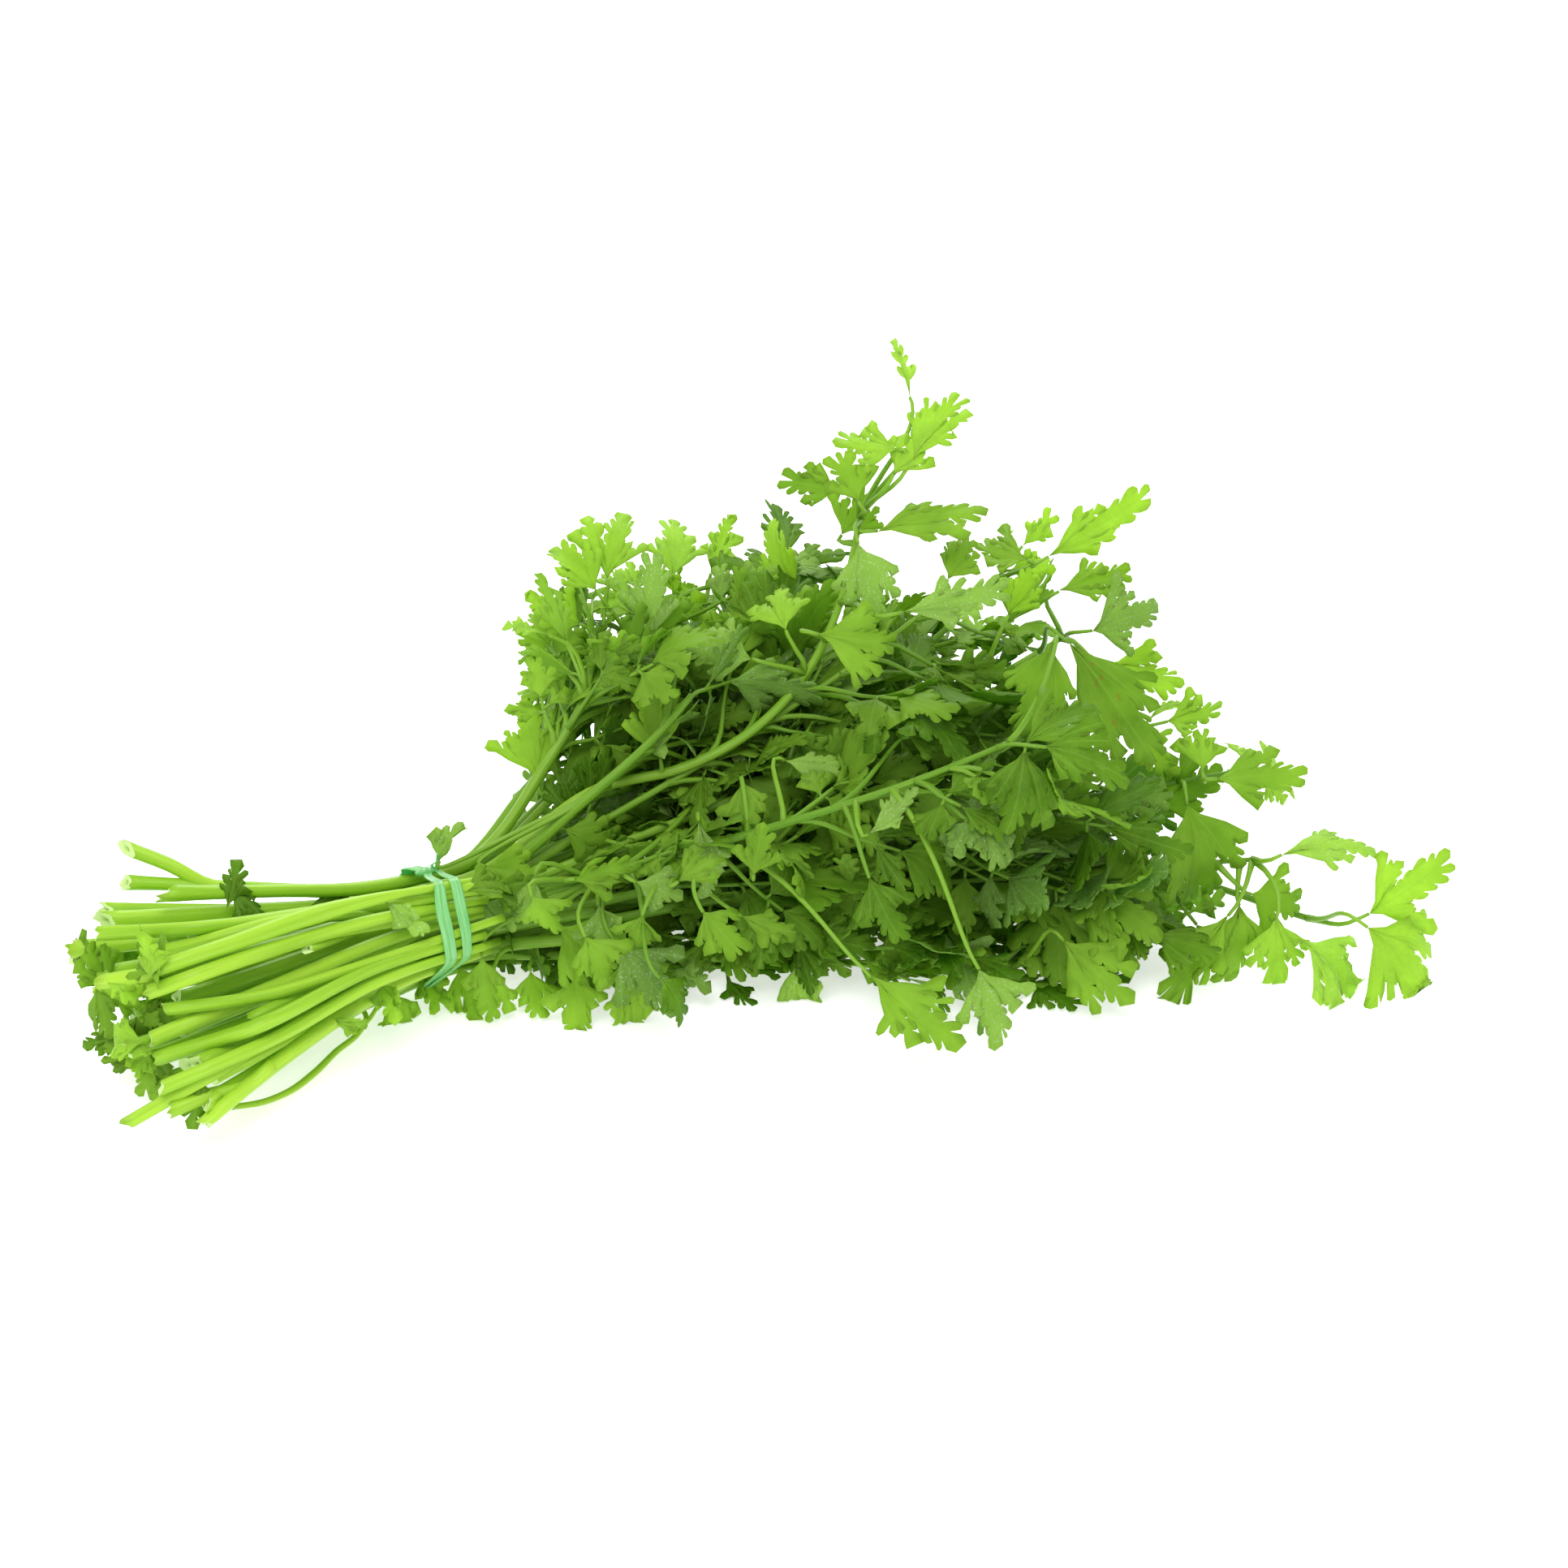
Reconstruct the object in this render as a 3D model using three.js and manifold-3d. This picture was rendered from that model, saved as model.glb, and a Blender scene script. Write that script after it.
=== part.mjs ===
// A bunch of fresh coriander, lying on a flat surface and tied near its cut ends with flat plastic tape.
// Millimetres, +Z up, +X from the cut ends towards the leaf tips. Every stalk passes through its own
// slot in the tied waist of the bunch, and fans out to its cut end on one side and to its leaves on the
// other.
import * as THREE from "three";
import { mergeVertices } from "three/addons/utils/BufferGeometryUtils.js";
import Module from "manifold-3d";

const wasm = await Module();
wasm.setup();

// Driving dimensions.
const STALKS = 30; // stalks through the tie
const WAIST_RADIUS = 12.2; // of the circle that holds the stalks' centrelines at the tie
const WAIST_HALF = 4; // length of each side of the tie over which the stalks run side by side
const WAIST_HEIGHT = 17; // of the tie's centre above the surface
const STALK_RADIUS = { cut: 2.6, waist: 1.55, fork: 1.4, tip: 0.8 };
const STALK_GAP = { waist: 0.3, beyond: 0.6 }; // kept between the skins of two stalks
const BUTT_LENGTH = 82; // from the tie to the cut ends in the middle
const LEAF_REACH = 140; // from the tie to the end of a central stalk
const FORK_REACH = 25; // from the tie to where a stalk's leaves begin
const FORK_GAP = 0.4; // between a stalk's solid and its leaf spray's
const GOLDEN_ANGLE = Math.PI * (3 - Math.sqrt(5));
const DEGREE = Math.PI / 180;

// The fan on the leaf side: the angles of its middle, and how much further the rim of the waist reaches.
const FAN = { yaw: -2, yawSpread: 33, pitch: 15, pitchSpread: 20 };
// The cut ends: the middle of their spread, how far from it the rim of the waist reaches, how much
// shorter the stalks of the sides and the top are than those of the middle, and how ragged their lengths
// are.
const BUTT = { side: -8, sideSpread: 43, height: 21, heightSpread: 17, shorter: 9, ragged: 11 };
// Leaves stay inside an outline round the fan: a side and a height for each length x from the tie. Low
// leaves stay nearer the middle.
const nearEdge = (x, z) => -14 - (0.5 + 0.012 * Math.min(z, 17)) * Math.max(x, 0);
const farEdge = (x) => 34 + 0.65 * Math.max(x, 0);
const topEdge = (x, y) => 62 + 0.62 * x - 0.004 * x * x - 0.25 * Math.abs(y);

// Each leaf is a blade of three leaflets on a leafstalk, set along a stalk past its fork.
const LEAF_STATIONS = [1, 0.08, 0.29, 0.49, 0.67, 0.84];
const LEAFSTALK = { width: 1.4, length: 25, angle: 44 };
const BLADE = { reach: 34, thickness: 0.6 };
const BLADE_TRIES = 22; // ways of setting a leaf that are tried before one with no room is left off

// Tape wound twice round the waist, its two turns crossing.
const TAPE = { width: 4.2, thickness: 0.6, clearance: 1, tilt: 8 };

// Sprigs that stand out from the even fan, by the slot of their stalk: where the stalk ends from the tie's
// centre, and how far its end turns up and sideways from the straight way there, in degrees.
const STANDOUTS = {
  19: { end: [108, 0, 82], lift: 26, sweep: 0 }, // the tall sprig
  11: { end: [152, 12, 50], lift: 22, sweep: 0 }, // the high sprig over the far end
  3: { end: [150, 12, 30], lift: 8, sweep: 0 },
  1: { end: [176, -74, 10], lift: 8, sweep: -10 },
  4: { end: [180, -60, 26], lift: 4, sweep: -10 },
  9: { end: [160, -40, 32], lift: 6, sweep: -4 },
  14: { end: [154, -18, 48], lift: 10, sweep: 0 },
  12: { end: [190, -78, -8], lift: -16, sweep: -24 }, // the longest sprig, low at the near side
  20: { end: [118, -60, -13], lift: 0, sweep: 0 },
  24: { end: [44, 18, 42], lift: 14, sweep: 10 }, // the steep sprigs near the tie
  16: { end: [72, 30, 40], lift: 16, sweep: 8 },
  27: { end: [60, -8, 50], lift: 14, sweep: 0 },
};
// Sprigs whose leaves may pass the outline round the fan.
const TALLEST = [19, 11, 12];
// Stalks that end bare just past the tie.
const BARE_SLOTS = [25, 17, 5];

// A repeatable number from 0 to 1 for stalk i and purpose k.
function chance(i, k) {
  const s = Math.sin(i * 12.9898 + k * 78.233) * 43758.5453;
  return s - Math.floor(s);
}

const spread = (i, k, amount) => (2 * chance(i, k) - 1) * amount;

const vector = (x, y, z) => new THREE.Vector3(x, y, z);

const bearing = (yaw, pitch) =>
  vector(
    Math.cos(pitch * DEGREE) * Math.cos(yaw * DEGREE),
    Math.cos(pitch * DEGREE) * Math.sin(yaw * DEGREE),
    Math.sin(pitch * DEGREE),
  );

// Slot i of the waist, in an even spiral, as shares of its radius across and up.
function slot(i) {
  const r = Math.sqrt((i + 0.5) / STALKS);
  return new THREE.Vector2(r * Math.cos(i * GOLDEN_ANGLE), r * Math.sin(i * GOLDEN_ANGLE));
}

const waistPoint = (i, x) => vector(x, slot(i).x * WAIST_RADIUS, WAIST_HEIGHT + slot(i).y * WAIST_RADIUS);

function leafSide(i) {
  const start = waistPoint(i, WAIST_HALF);
  const place = slot(i);
  const standout = STANDOUTS[i];
  const end = standout
    ? vector(...standout.end).add(vector(0, 0, WAIST_HEIGHT))
    : bearing(
        FAN.yaw + FAN.yawSpread * place.x + spread(i, 1, 4),
        FAN.pitch + FAN.pitchSpread * place.y + spread(i, 2, 4),
      )
        .multiplyScalar(LEAF_REACH * (1 - 0.12 * place.lengthSq() - 0.16 * (place.x + place.y)))
        .add(start);
  const way = end.clone().sub(start);
  const yaw = Math.atan2(way.y, way.x) / DEGREE;
  const pitch = Math.atan2(way.z, Math.hypot(way.x, way.y)) / DEGREE;
  const { lift, sweep } = standout ?? { lift: 8, sweep: 0 };
  const third = way.length() / 3;
  return new THREE.CubicBezierCurve3(
    start,
    bearing(yaw * 0.85, pitch - lift * 0.4).multiplyScalar(third).add(start),
    end.clone().addScaledVector(bearing(yaw * 1.1 + sweep, pitch + lift), -third),
    end,
  );
}

function buttSide(i) {
  const start = waistPoint(i, -WAIST_HALF);
  const place = slot(i);
  const end = vector(
    -BUTT_LENGTH + BUTT.shorter * (Math.abs(place.x) + Math.max(place.y, 0)) + spread(i, 4, BUTT.ragged),
    BUTT.side + BUTT.sideSpread * place.x + spread(i, 5, 2),
    BUTT.height + BUTT.heightSpread * place.y + spread(i, 6, 1.5),
  );
  const third = end.distanceTo(start) / 3;
  return new THREE.CubicBezierCurve3(
    start,
    start.clone().addScaledVector(vector(1, 0.1, 0.1).normalize(), -third * 0.6),
    end.clone().lerp(start, 1 / 3),
    end,
  );
}

// A stalk's chain of points, from its cut end through the waist and its fork to its end, with their radii.
const FORK = 5; // place of the fork in the chain
const UPPER_STEPS = 5;

function chain(i) {
  const butt = buttSide(i);
  const leafward = leafSide(i);
  const bare = BARE_SLOTS.includes(i);
  const fork = (FORK_REACH + 12 * slot(i).y + spread(i, 7, 4)) / leafward.getLength();
  const stations = Array.from({ length: UPPER_STEPS }, (_, k) => (k + 1) / UPPER_STEPS);
  const points = [
    butt.getPointAt(1),
    butt.getPointAt(0.6),
    butt.getPointAt(0.25),
    waistPoint(i, -WAIST_HALF),
    waistPoint(i, WAIST_HALF),
    leafward.getPointAt(fork),
    ...(bare ? [] : stations.map((t) => leafward.getPointAt(THREE.MathUtils.lerp(fork, 1, t)))),
  ];
  const { cut, waist, fork: forkRadius, tip } = STALK_RADIUS;
  const buttRadii = [0, 0.4, 0.8].map((share) => THREE.MathUtils.lerp(cut, waist, share));
  const radii = [...buttRadii, waist, waist];
  const taper = points.slice(FORK).map((_, k) => THREE.MathUtils.lerp(forkRadius, tip, k / UPPER_STEPS));
  return { slot: i, bare, points, radii: [...radii, ...taper] };
}

// Where two segments come closest, as shares of the way along each.
function closest(a, b, c, d) {
  const u = b.clone().sub(a);
  const v = d.clone().sub(c);
  const w = a.clone().sub(c);
  const uu = u.dot(u);
  const vv = v.dot(v);
  const uv = u.dot(v);
  const clamp = (x) => Math.min(1, Math.max(0, x));
  const det = uu * vv - uv * uv;
  let s = det > 1e-9 * uu * vv ? clamp((uv * v.dot(w) - vv * u.dot(w)) / det) : 0.5;
  const t = clamp((uv * s + v.dot(w)) / vv);
  s = clamp((uv * t - u.dot(w)) / uu);
  return { s, t, apart: w.addScaledVector(u, s).addScaledVector(v, -t) };
}

// Moves the stalks apart wherever two of them touch, keeping them in their slots of the waist.
function settle(chains, rounds) {
  const held = (k) => k === FORK - 1 || k === FORK - 2;
  for (let round = 0; round < rounds; round += 1) {
    const moves = chains.map((c) => c.points.map(() => ({ sum: vector(0, 0, 0), weight: 0 })));
    const move = (to, push, weight) => {
      to.sum.addScaledVector(push, weight);
      to.weight += Math.abs(weight);
    };
    for (let a = 0; a < chains.length; a += 1) {
      for (let b = a + 1; b < chains.length; b += 1) {
        for (let j = 0; j + 1 < chains[a].points.length; j += 1) {
          for (let k = 0; k + 1 < chains[b].points.length; k += 1) {
            if (held(j) && held(j + 1) && held(k) && held(k + 1)) continue;
            const near = closest(...chains[a].points.slice(j, j + 2), ...chains[b].points.slice(k, k + 2));
            const atWaist = held(j) || held(j + 1) || held(k) || held(k + 1);
            const gap = atWaist ? STALK_GAP.waist : STALK_GAP.beyond;
            const ra = THREE.MathUtils.lerp(chains[a].radii[j], chains[a].radii[j + 1], near.s);
            const rb = THREE.MathUtils.lerp(chains[b].radii[k], chains[b].radii[k + 1], near.t);
            const short = ra + rb + gap - near.apart.length();
            if (short <= 0) continue;
            const push = near.apart.normalize().multiplyScalar(short * 0.7);
            move(moves[a][j], push, 1 - near.s);
            move(moves[a][j + 1], push, near.s);
            move(moves[b][k], push, near.t - 1);
            move(moves[b][k + 1], push, -near.t);
          }
        }
      }
    }
    chains.forEach((c, a) =>
      c.points.forEach((p, j) => {
        const { sum, weight } = moves[a][j];
        if (!held(j)) p.addScaledVector(sum, 1 / Math.max(1, weight));
        p.z = Math.max(p.z, c.radii[j]);
      }),
    );
  }
}

// The point and the direction at a share of the way along a run of points.
function partway(points, share) {
  const lengths = points.slice(1).map((p, k) => p.distanceTo(points[k]));
  let rest = share * lengths.reduce((sum, length) => sum + length, 0);
  let k = 0;
  while (k < lengths.length - 1 && rest > lengths[k]) {
    rest -= lengths[k];
    k += 1;
  }
  const direction = points[k + 1].clone().sub(points[k]).normalize();
  return { from: points[k].clone().addScaledVector(direction, rest), direction };
}

// A closed tube through points, with a regular section of the radius given at each point.
function tube(points, radii, sides) {
  const places = [];
  const faces = [];
  const across = vector(0, 0, 1);
  points.forEach((p, k) => {
    const before = points[Math.max(k - 1, 0)];
    const after = points[Math.min(k + 1, points.length - 1)];
    const along = after.clone().sub(before).normalize();
    across.addScaledVector(along, -along.dot(across)).normalize();
    const other = along.clone().cross(across);
    for (let a = 0; a < sides; a += 1) {
      const turn = (2 * Math.PI * a) / sides;
      const v = p
        .clone()
        .addScaledVector(across, radii[k] * Math.cos(turn))
        .addScaledVector(other, radii[k] * Math.sin(turn));
      places.push(v.x, v.y, v.z);
    }
  });
  const last = (points.length - 1) * sides;
  for (let a = 0; a < sides; a += 1) {
    const b = (a + 1) % sides;
    for (let k = 0; k < last; k += sides) {
      faces.push(k + a, k + b, k + sides + b, k + a, k + sides + b, k + sides + a);
    }
    if (a > 0 && b > 0) faces.push(0, b, a, last, last + a, last + b);
  }
  return new THREE.BufferGeometry()
    .setAttribute("position", new THREE.Float32BufferAttribute(places, 3))
    .setIndex(faces);
}

// A geometry as a manifold-3d solid, and back.
function solid(geometry) {
  const bare = geometry.clone();
  bare.deleteAttribute("normal");
  bare.deleteAttribute("uv");
  const merged = mergeVertices(bare, 1e-3);
  return new wasm.Manifold(
    new wasm.Mesh({
      numProp: 3,
      vertProperties: merged.getAttribute("position").array,
      triVerts: new Uint32Array(merged.index.array),
    }),
  );
}

function geometryOf(made) {
  const mesh = made.getMesh();
  return new THREE.BufferGeometry()
    .setAttribute("position", new THREE.BufferAttribute(mesh.vertProperties, 3))
    .setIndex(new THREE.BufferAttribute(mesh.triVerts, 1));
}

// The outline of a blade of three leaflets, as shares of its reach, its base at the origin and its end
// along +X.
const BLADE_SIDE = [
  [0.24, 0.1],
  [0.16, 0.46],
  [0.42, 0.55],
  [0.5, 0.16],
  [0.74, 0.36],
  [0.97, 0.14],
];

// A leaf's outline, from the start of its leafstalk round its blade.
function leafOutline(length, reach) {
  const side = [[-length, LEAFSTALK.width / 2], ...BLADE_SIDE.map(([x, y]) => [x * reach, y * reach])];
  const round = [...side.map(([x, y]) => [x, -y]), ...side.toReversed()];
  return new THREE.Shape(round.map(([x, y]) => new THREE.Vector2(x, y)));
}

// A flat leaf with the base of its blade at a point, lying along a direction and facing a way as nearly
// as it can.
function flatLeaf(base, along, facing, length, reach) {
  const across = facing.clone().cross(along).normalize();
  const normal = along.clone().cross(across);
  const outline = leafOutline(length, reach);
  const geometry = new THREE.ExtrudeGeometry(outline, { depth: BLADE.thickness, bevelEnabled: false });
  geometry.translate(0, 0, -BLADE.thickness / 2);
  return geometry.applyMatrix4(new THREE.Matrix4().makeBasis(along, across, normal).setPosition(base));
}

// The direction of a leaf that leaves a stalk at an angle, turned round the stalk from level.
function sideways(tangent, angle, turn) {
  const level = vector(-tangent.y, tangent.x, 0).normalize();
  return tangent
    .clone()
    .multiplyScalar(Math.cos(angle * DEGREE))
    .addScaledVector(level, Math.sin(angle * DEGREE) * Math.cos(turn * DEGREE))
    .addScaledVector(tangent.clone().cross(level), Math.sin(angle * DEGREE) * Math.sin(turn * DEGREE));
}

// One leaf from a point on a stalk. The blade of a low leaf lies flat on the surface.
function leaf(from, direction, length, reach, facing) {
  const base = from.clone().addScaledVector(direction, length);
  if (base.z > 6) return solid(flatLeaf(base, direction, facing, length, reach));
  base.z = BLADE.thickness / 2;
  const along = direction.clone().setZ(0).normalize();
  const onto = base.clone().addScaledVector(along, 0.12 * reach);
  const leafstalk = tube([from, onto], [LEAFSTALK.width / 2, BLADE.thickness * 0.4], 3);
  return solid(flatLeaf(base, along, vector(0, 0, 1), 0, reach)).add(solid(leafstalk));
}

const placed = []; // every solid of the stalks and leaves made so far

function outside({ min, max }) {
  const x = (min[0] + max[0]) / 2;
  return min[1] < nearEdge(x, min[2]) || max[1] > farEdge(x) || max[2] > topEdge(x, (min[1] + max[1]) / 2);
}

// Whether a new leaf of a spray goes under the surface, or into another leaf, or into a stalk but its own.
function overlaps(made, own) {
  const box = made.boundingBox();
  if (box.min[2] < -1e-3) return true;
  const apart = (other) => [0, 1, 2].some((a) => box.max[a] < other.min[a] || other.max[a] < box.min[a]);
  const others = [...placed.filter((p) => p.name !== own), ...placed.find((p) => p.name === own).leaves];
  return others.some((p) => !apart(p.box) && made.intersect(p.made).volume() > 1e-4);
}

// Adds leaf k of a sprig, setting it differently until it clears every other solid.
function setLeaf(sprig, share, k) {
  const { slot: i, points, spray } = sprig;
  const end = share === 1;
  const place = slot(i);
  const outward = Math.atan2(place.y, place.x) / DEGREE;
  const side = outward + ((i + k) % 2 ? 55 : -55) + spread(i, 20 + k, 25);
  const facing = vector(-0.2, 0.9 * place.x, 0.8 + 0.4 * place.y).normalize();
  const entry = placed.find((p) => p.name === spray);
  for (let attempt = 0; attempt < BLADE_TRIES; attempt += 1) {
    const swing = (attempt % 2 ? 1 : -1) * attempt;
    const station = end ? 1 : share + spread(i, 50 + k + 9 * attempt, 0.06);
    const { from, direction: tangent } = partway(points.slice(FORK), station);
    const away = end ? 4 + attempt * 2.5 : LEAFSTALK.angle + spread(i, 60 + k + 9 * attempt, 12);
    const direction = sideways(tangent, away, side + 11 * swing);
    if (end && tangent.z > 0.3) direction.setZ(direction.z - 0.35).normalize();
    const longer = 1 + spread(i, 70 + k + 9 * attempt, 0.25);
    const length = end ? 2 : LEAFSTALK.length * (1.15 - 0.5 * share) * longer;
    const full = BLADE.reach * (end ? 1.15 : 1 - 0.2 * share) + spread(i, 30 + k, 3);
    const reach = full * (1 - attempt * 0.015);
    const turned = facing.clone().applyAxisAngle(direction, (spread(i, 40 + k, 30) + 7 * swing) * DEGREE);
    const made = leaf(from, direction, length, reach, turned);
    if ((!TALLEST.includes(i) && outside(made.boundingBox())) || overlaps(made, spray)) continue;
    entry.made = entry.made.add(made);
    entry.box = entry.made.boundingBox();
    entry.leaves.push({ made, box: made.boundingBox() });
    return;
  }
}

const FINISH = {
  stalk: { color: 0x9ccc45, roughness: 0.45, metalness: 0 },
  leaf: { color: 0x5f9a2c, roughness: 0.55, metalness: 0 },
  tape: { color: 0x6fc489, roughness: 0.3, metalness: 0 },
};
const bunch = new THREE.Group();

function add(name, geometry, finish) {
  const mesh = new THREE.Mesh(geometry, new THREE.MeshStandardMaterial(finish));
  mesh.name = name;
  bunch.add(mesh);
}

// From the cut end, through the waist, to the fork.
function lowerTube({ points, radii }) {
  const route = points.slice(0, FORK + 1).map((p) => p.clone());
  route[FORK].add(route[FORK - 1].clone().sub(route[FORK]).setLength(FORK_GAP / 2));
  return tube(route, radii.slice(0, FORK + 1), 6);
}

// From the fork to the stalk's end.
function upperTube({ points, radii }) {
  const route = points.slice(FORK).map((p) => p.clone());
  route[0].add(route[1].clone().sub(route[0]).setLength(FORK_GAP / 2));
  return tube(route, radii.slice(FORK), 5);
}

function place(name, made) {
  placed.push({ name, made, box: made.boundingBox(), leaves: [] });
}

function buildSprigs() {
  const sprigs = Array.from({ length: STALKS }, (_, i) => chain(i));
  settle(sprigs, 60);
  let count = 0;
  for (const sprig of sprigs) {
    if (!sprig.bare) count += 1;
    const number = String(count).padStart(2, "0");
    sprig.spray = `leaf_spray_${number}`;
    const name = sprig.bare ? `bare_stalk_${BARE_SLOTS.indexOf(sprig.slot) + 1}` : `stalk_${number}`;
    place(name, solid(lowerTube(sprig)));
    if (!sprig.bare) place(sprig.spray, solid(upperTube(sprig)));
  }
  LEAF_STATIONS.forEach((station, k) => {
    for (const sprig of sprigs) if (!sprig.bare) setLeaf(sprig, station, k);
  });
  for (const { name, made } of placed) {
    add(name, geometryOf(made), name.startsWith("leaf") ? FINISH.leaf : FINISH.stalk);
  }
}

// One turn of the tape: a flat band round the waist, tilted.
function tapeTurn(tilt) {
  const inner = WAIST_RADIUS + STALK_RADIUS.waist + TAPE.clearance;
  const outer = inner + TAPE.thickness;
  const profile = [
    [inner, -TAPE.width / 2],
    [outer, -TAPE.width / 2],
    [outer, TAPE.width / 2],
    [inner, TAPE.width / 2],
    [inner, -TAPE.width / 2],
  ].map(([x, y]) => new THREE.Vector2(x, y));
  return new THREE.LatheGeometry(profile, 28)
    .rotateZ(-Math.PI / 2)
    .rotateZ(tilt * DEGREE)
    .translate(0, 0, WAIST_HEIGHT);
}

function buildTie() {
  const top = WAIST_HEIGHT + WAIST_RADIUS + STALK_RADIUS.waist + TAPE.clearance + TAPE.thickness;
  add("tie_turns", geometryOf(solid(tapeTurn(TAPE.tilt)).add(solid(tapeTurn(-TAPE.tilt)))), FINISH.tape);
  const knot = new THREE.SphereGeometry(1, 10, 6).scale(3.2, 2.6, 1.9).translate(-1, 0, top + 2.2);
  add("tie_knot", geometryOf(solid(knot)), FINISH.tape);
  const tail = new THREE.BoxGeometry(3.2, TAPE.thickness, 7).rotateY(-0.5).translate(-3.4, 0, top + 8.2);
  add("tie_tail", geometryOf(solid(tail)), FINISH.tape);
}

buildSprigs();
buildTie();

// The origin is the middle of the bunch's own box, at the surface it lies on.
const extent = new THREE.Box3().setFromObject(bunch);
const middle = extent.getCenter(vector(0, 0, 0));
bunch.position.set(-middle.x, -middle.y, -extent.min.z);

export default bunch;
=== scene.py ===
"""The looks of a tied bunch of fresh coriander that lies on a pale floor.

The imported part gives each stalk's route, and the place, direction and size of its leaves. This script grows
a smooth ribbed stalk along each route, and a leaf of toothed leaflets on each of the part's flat blades,
apart from those that make way for the leaves that stand out in the picture. It fills gaps with more leaves,
adds loose stalks, and ties the bunch with folded tape. Lengths are in millimetres until a mesh is made.
"""

import math
from itertools import combinations

import bmesh
import bpy
import numpy as np
from mathutils import Matrix, Vector
from mathutils.bvhtree import BVHTree


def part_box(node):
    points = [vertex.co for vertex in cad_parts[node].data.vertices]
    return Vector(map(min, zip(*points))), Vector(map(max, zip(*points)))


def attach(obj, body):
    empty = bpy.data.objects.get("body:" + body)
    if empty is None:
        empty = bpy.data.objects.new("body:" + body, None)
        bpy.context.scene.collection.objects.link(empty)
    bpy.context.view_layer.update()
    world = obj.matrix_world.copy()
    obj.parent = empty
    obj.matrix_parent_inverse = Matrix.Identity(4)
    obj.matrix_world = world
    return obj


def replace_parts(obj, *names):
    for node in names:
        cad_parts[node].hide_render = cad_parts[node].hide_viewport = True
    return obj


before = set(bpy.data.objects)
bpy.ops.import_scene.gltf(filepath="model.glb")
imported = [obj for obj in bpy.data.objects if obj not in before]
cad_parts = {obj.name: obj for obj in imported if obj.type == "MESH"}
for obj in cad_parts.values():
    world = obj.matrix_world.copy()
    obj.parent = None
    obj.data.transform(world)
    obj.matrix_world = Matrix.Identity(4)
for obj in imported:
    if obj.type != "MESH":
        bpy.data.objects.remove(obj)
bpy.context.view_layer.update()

MM = 0.001
UP = np.array([0.0, 0.0, 1.0])
SEED = 7

# The part's flat blades: three leaflets in one outline, as shares of its reach from the blade's base.
BLADE_SIDE = ((0.24, 0.1), (0.16, 0.46), (0.42, 0.55), (0.5, 0.16), (0.74, 0.36), (0.97, 0.14))
BLADE_OUTLINE = np.array([(x, s * y) for x, y in BLADE_SIDE for s in (-1, 1)])
BLADE_SPAN = 1.1  # between the two outermost corners of that outline
BLADE_REACHES = (18, 48)  # between which the reach of every blade lies
BLADE_SMALLEST_FACE = 120.0  # square millimetres of one face of a blade
STALK_SIDES = 6  # of the part's stalks, and the sides of its stalks past the fork
SPRAY_SIDES = 5
RING_RADII = np.linspace(1.4, 0.8, 6)  # of the rings past the fork

# Stalks.
STALK_STEP = 3.0  # between rings along a stalk
STALK_ROUND = 14
RIB_DEPTH = 0.03  # of the fine lengthwise ribs, as a share of the radius
CUT_SLANTS = (10, 52)  # degrees off square that an end is cut
# The rings of a cut end, from its hollow's bottom to its rim: how far in, share of the radius, and darkness,
# which is painted shade in the hollow.
CUT_RINGS = (
    (1.2, 0.14, 0.8), (0.5, 0.26, 0.6), (0.1, 0.34, 0.4), (0, 0.5, 0.3), (-0.05, 0.85, 0.2), (0, 0.99, 0.1),
)

# Leaflets.
EDGE_SPAN = 84  # to each side of the midrib, before a leaflet is opened more or less wide
GAPS = ((27, 0.66, 12.5), (57, 0.46, 10.0))  # the gaps between a side's lobes: angle, depth and width
LOBE_ANGLES = (41, 70)  # of the lobes past each gap
RINGS = np.array([0.02, 0.35, 0.7, 1.0])  # from a leaflet's base to its edge
TOOTH_WIDTH = 2.2  # on average
TOOTH_COUNTS = (5, 20)  # the fewest and the most on a leaflet
WIDEST_TOOTH = 2.6  # past which a tooth stands out no further
TOOTH_SHAPE = np.array([(0.13, 0.64), (0.38, 1.0), (0.66, 0.97), (0.89, 0.6)])  # of its width and height
FORMS = {  # how wide a leaflet opens, how much shorter its sides are than its middle, how deeply it is cut
    "fan": {"open": (0.46, 0.64), "fall": (0.34, 0.52), "cut": (0.3, 0.8)},
    "deep": {"open": (0.5, 0.68), "fall": (0.3, 0.48), "cut": (0.75, 1.0)},
    "long": {"open": (0.27, 0.36), "fall": (0.5, 0.62), "cut": (0.3, 0.8)},
    "strip": {"open": (0.07, 0.1), "fall": (0.5, 0.7), "cut": (0.0, 0.1)},
}
LEAFLET_THICKNESS = (0.3, 0.16)  # at its base and at its edge
LEAFLET_SHARE = {"three": 0.76, "side": 0.64, "single": 0.92}  # of a leaf's reach
RACHIS_SHARE = {"three": 0.3, "single": 0.1}  # from a leaf's base to its end leaflet, of its reach
SIDE_LEAFLETS_AT = 0.07
SIDE_ANGLE = 62
PETIOLE_RADIUS = (0.75, 0.42)  # where it leaves the sprig and at the leaf
SIDE_STALK_RADII = (0.5, 0.4, 0.34)
USUAL_FORMS = ("fan", "fan", "deep", "long")
LOW_LEAF = 6.0  # a leaf with its base under this height lies nearly flat on the floor
LOWEST = 1.5  # how near the floor a leaf that is moved may come

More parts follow.
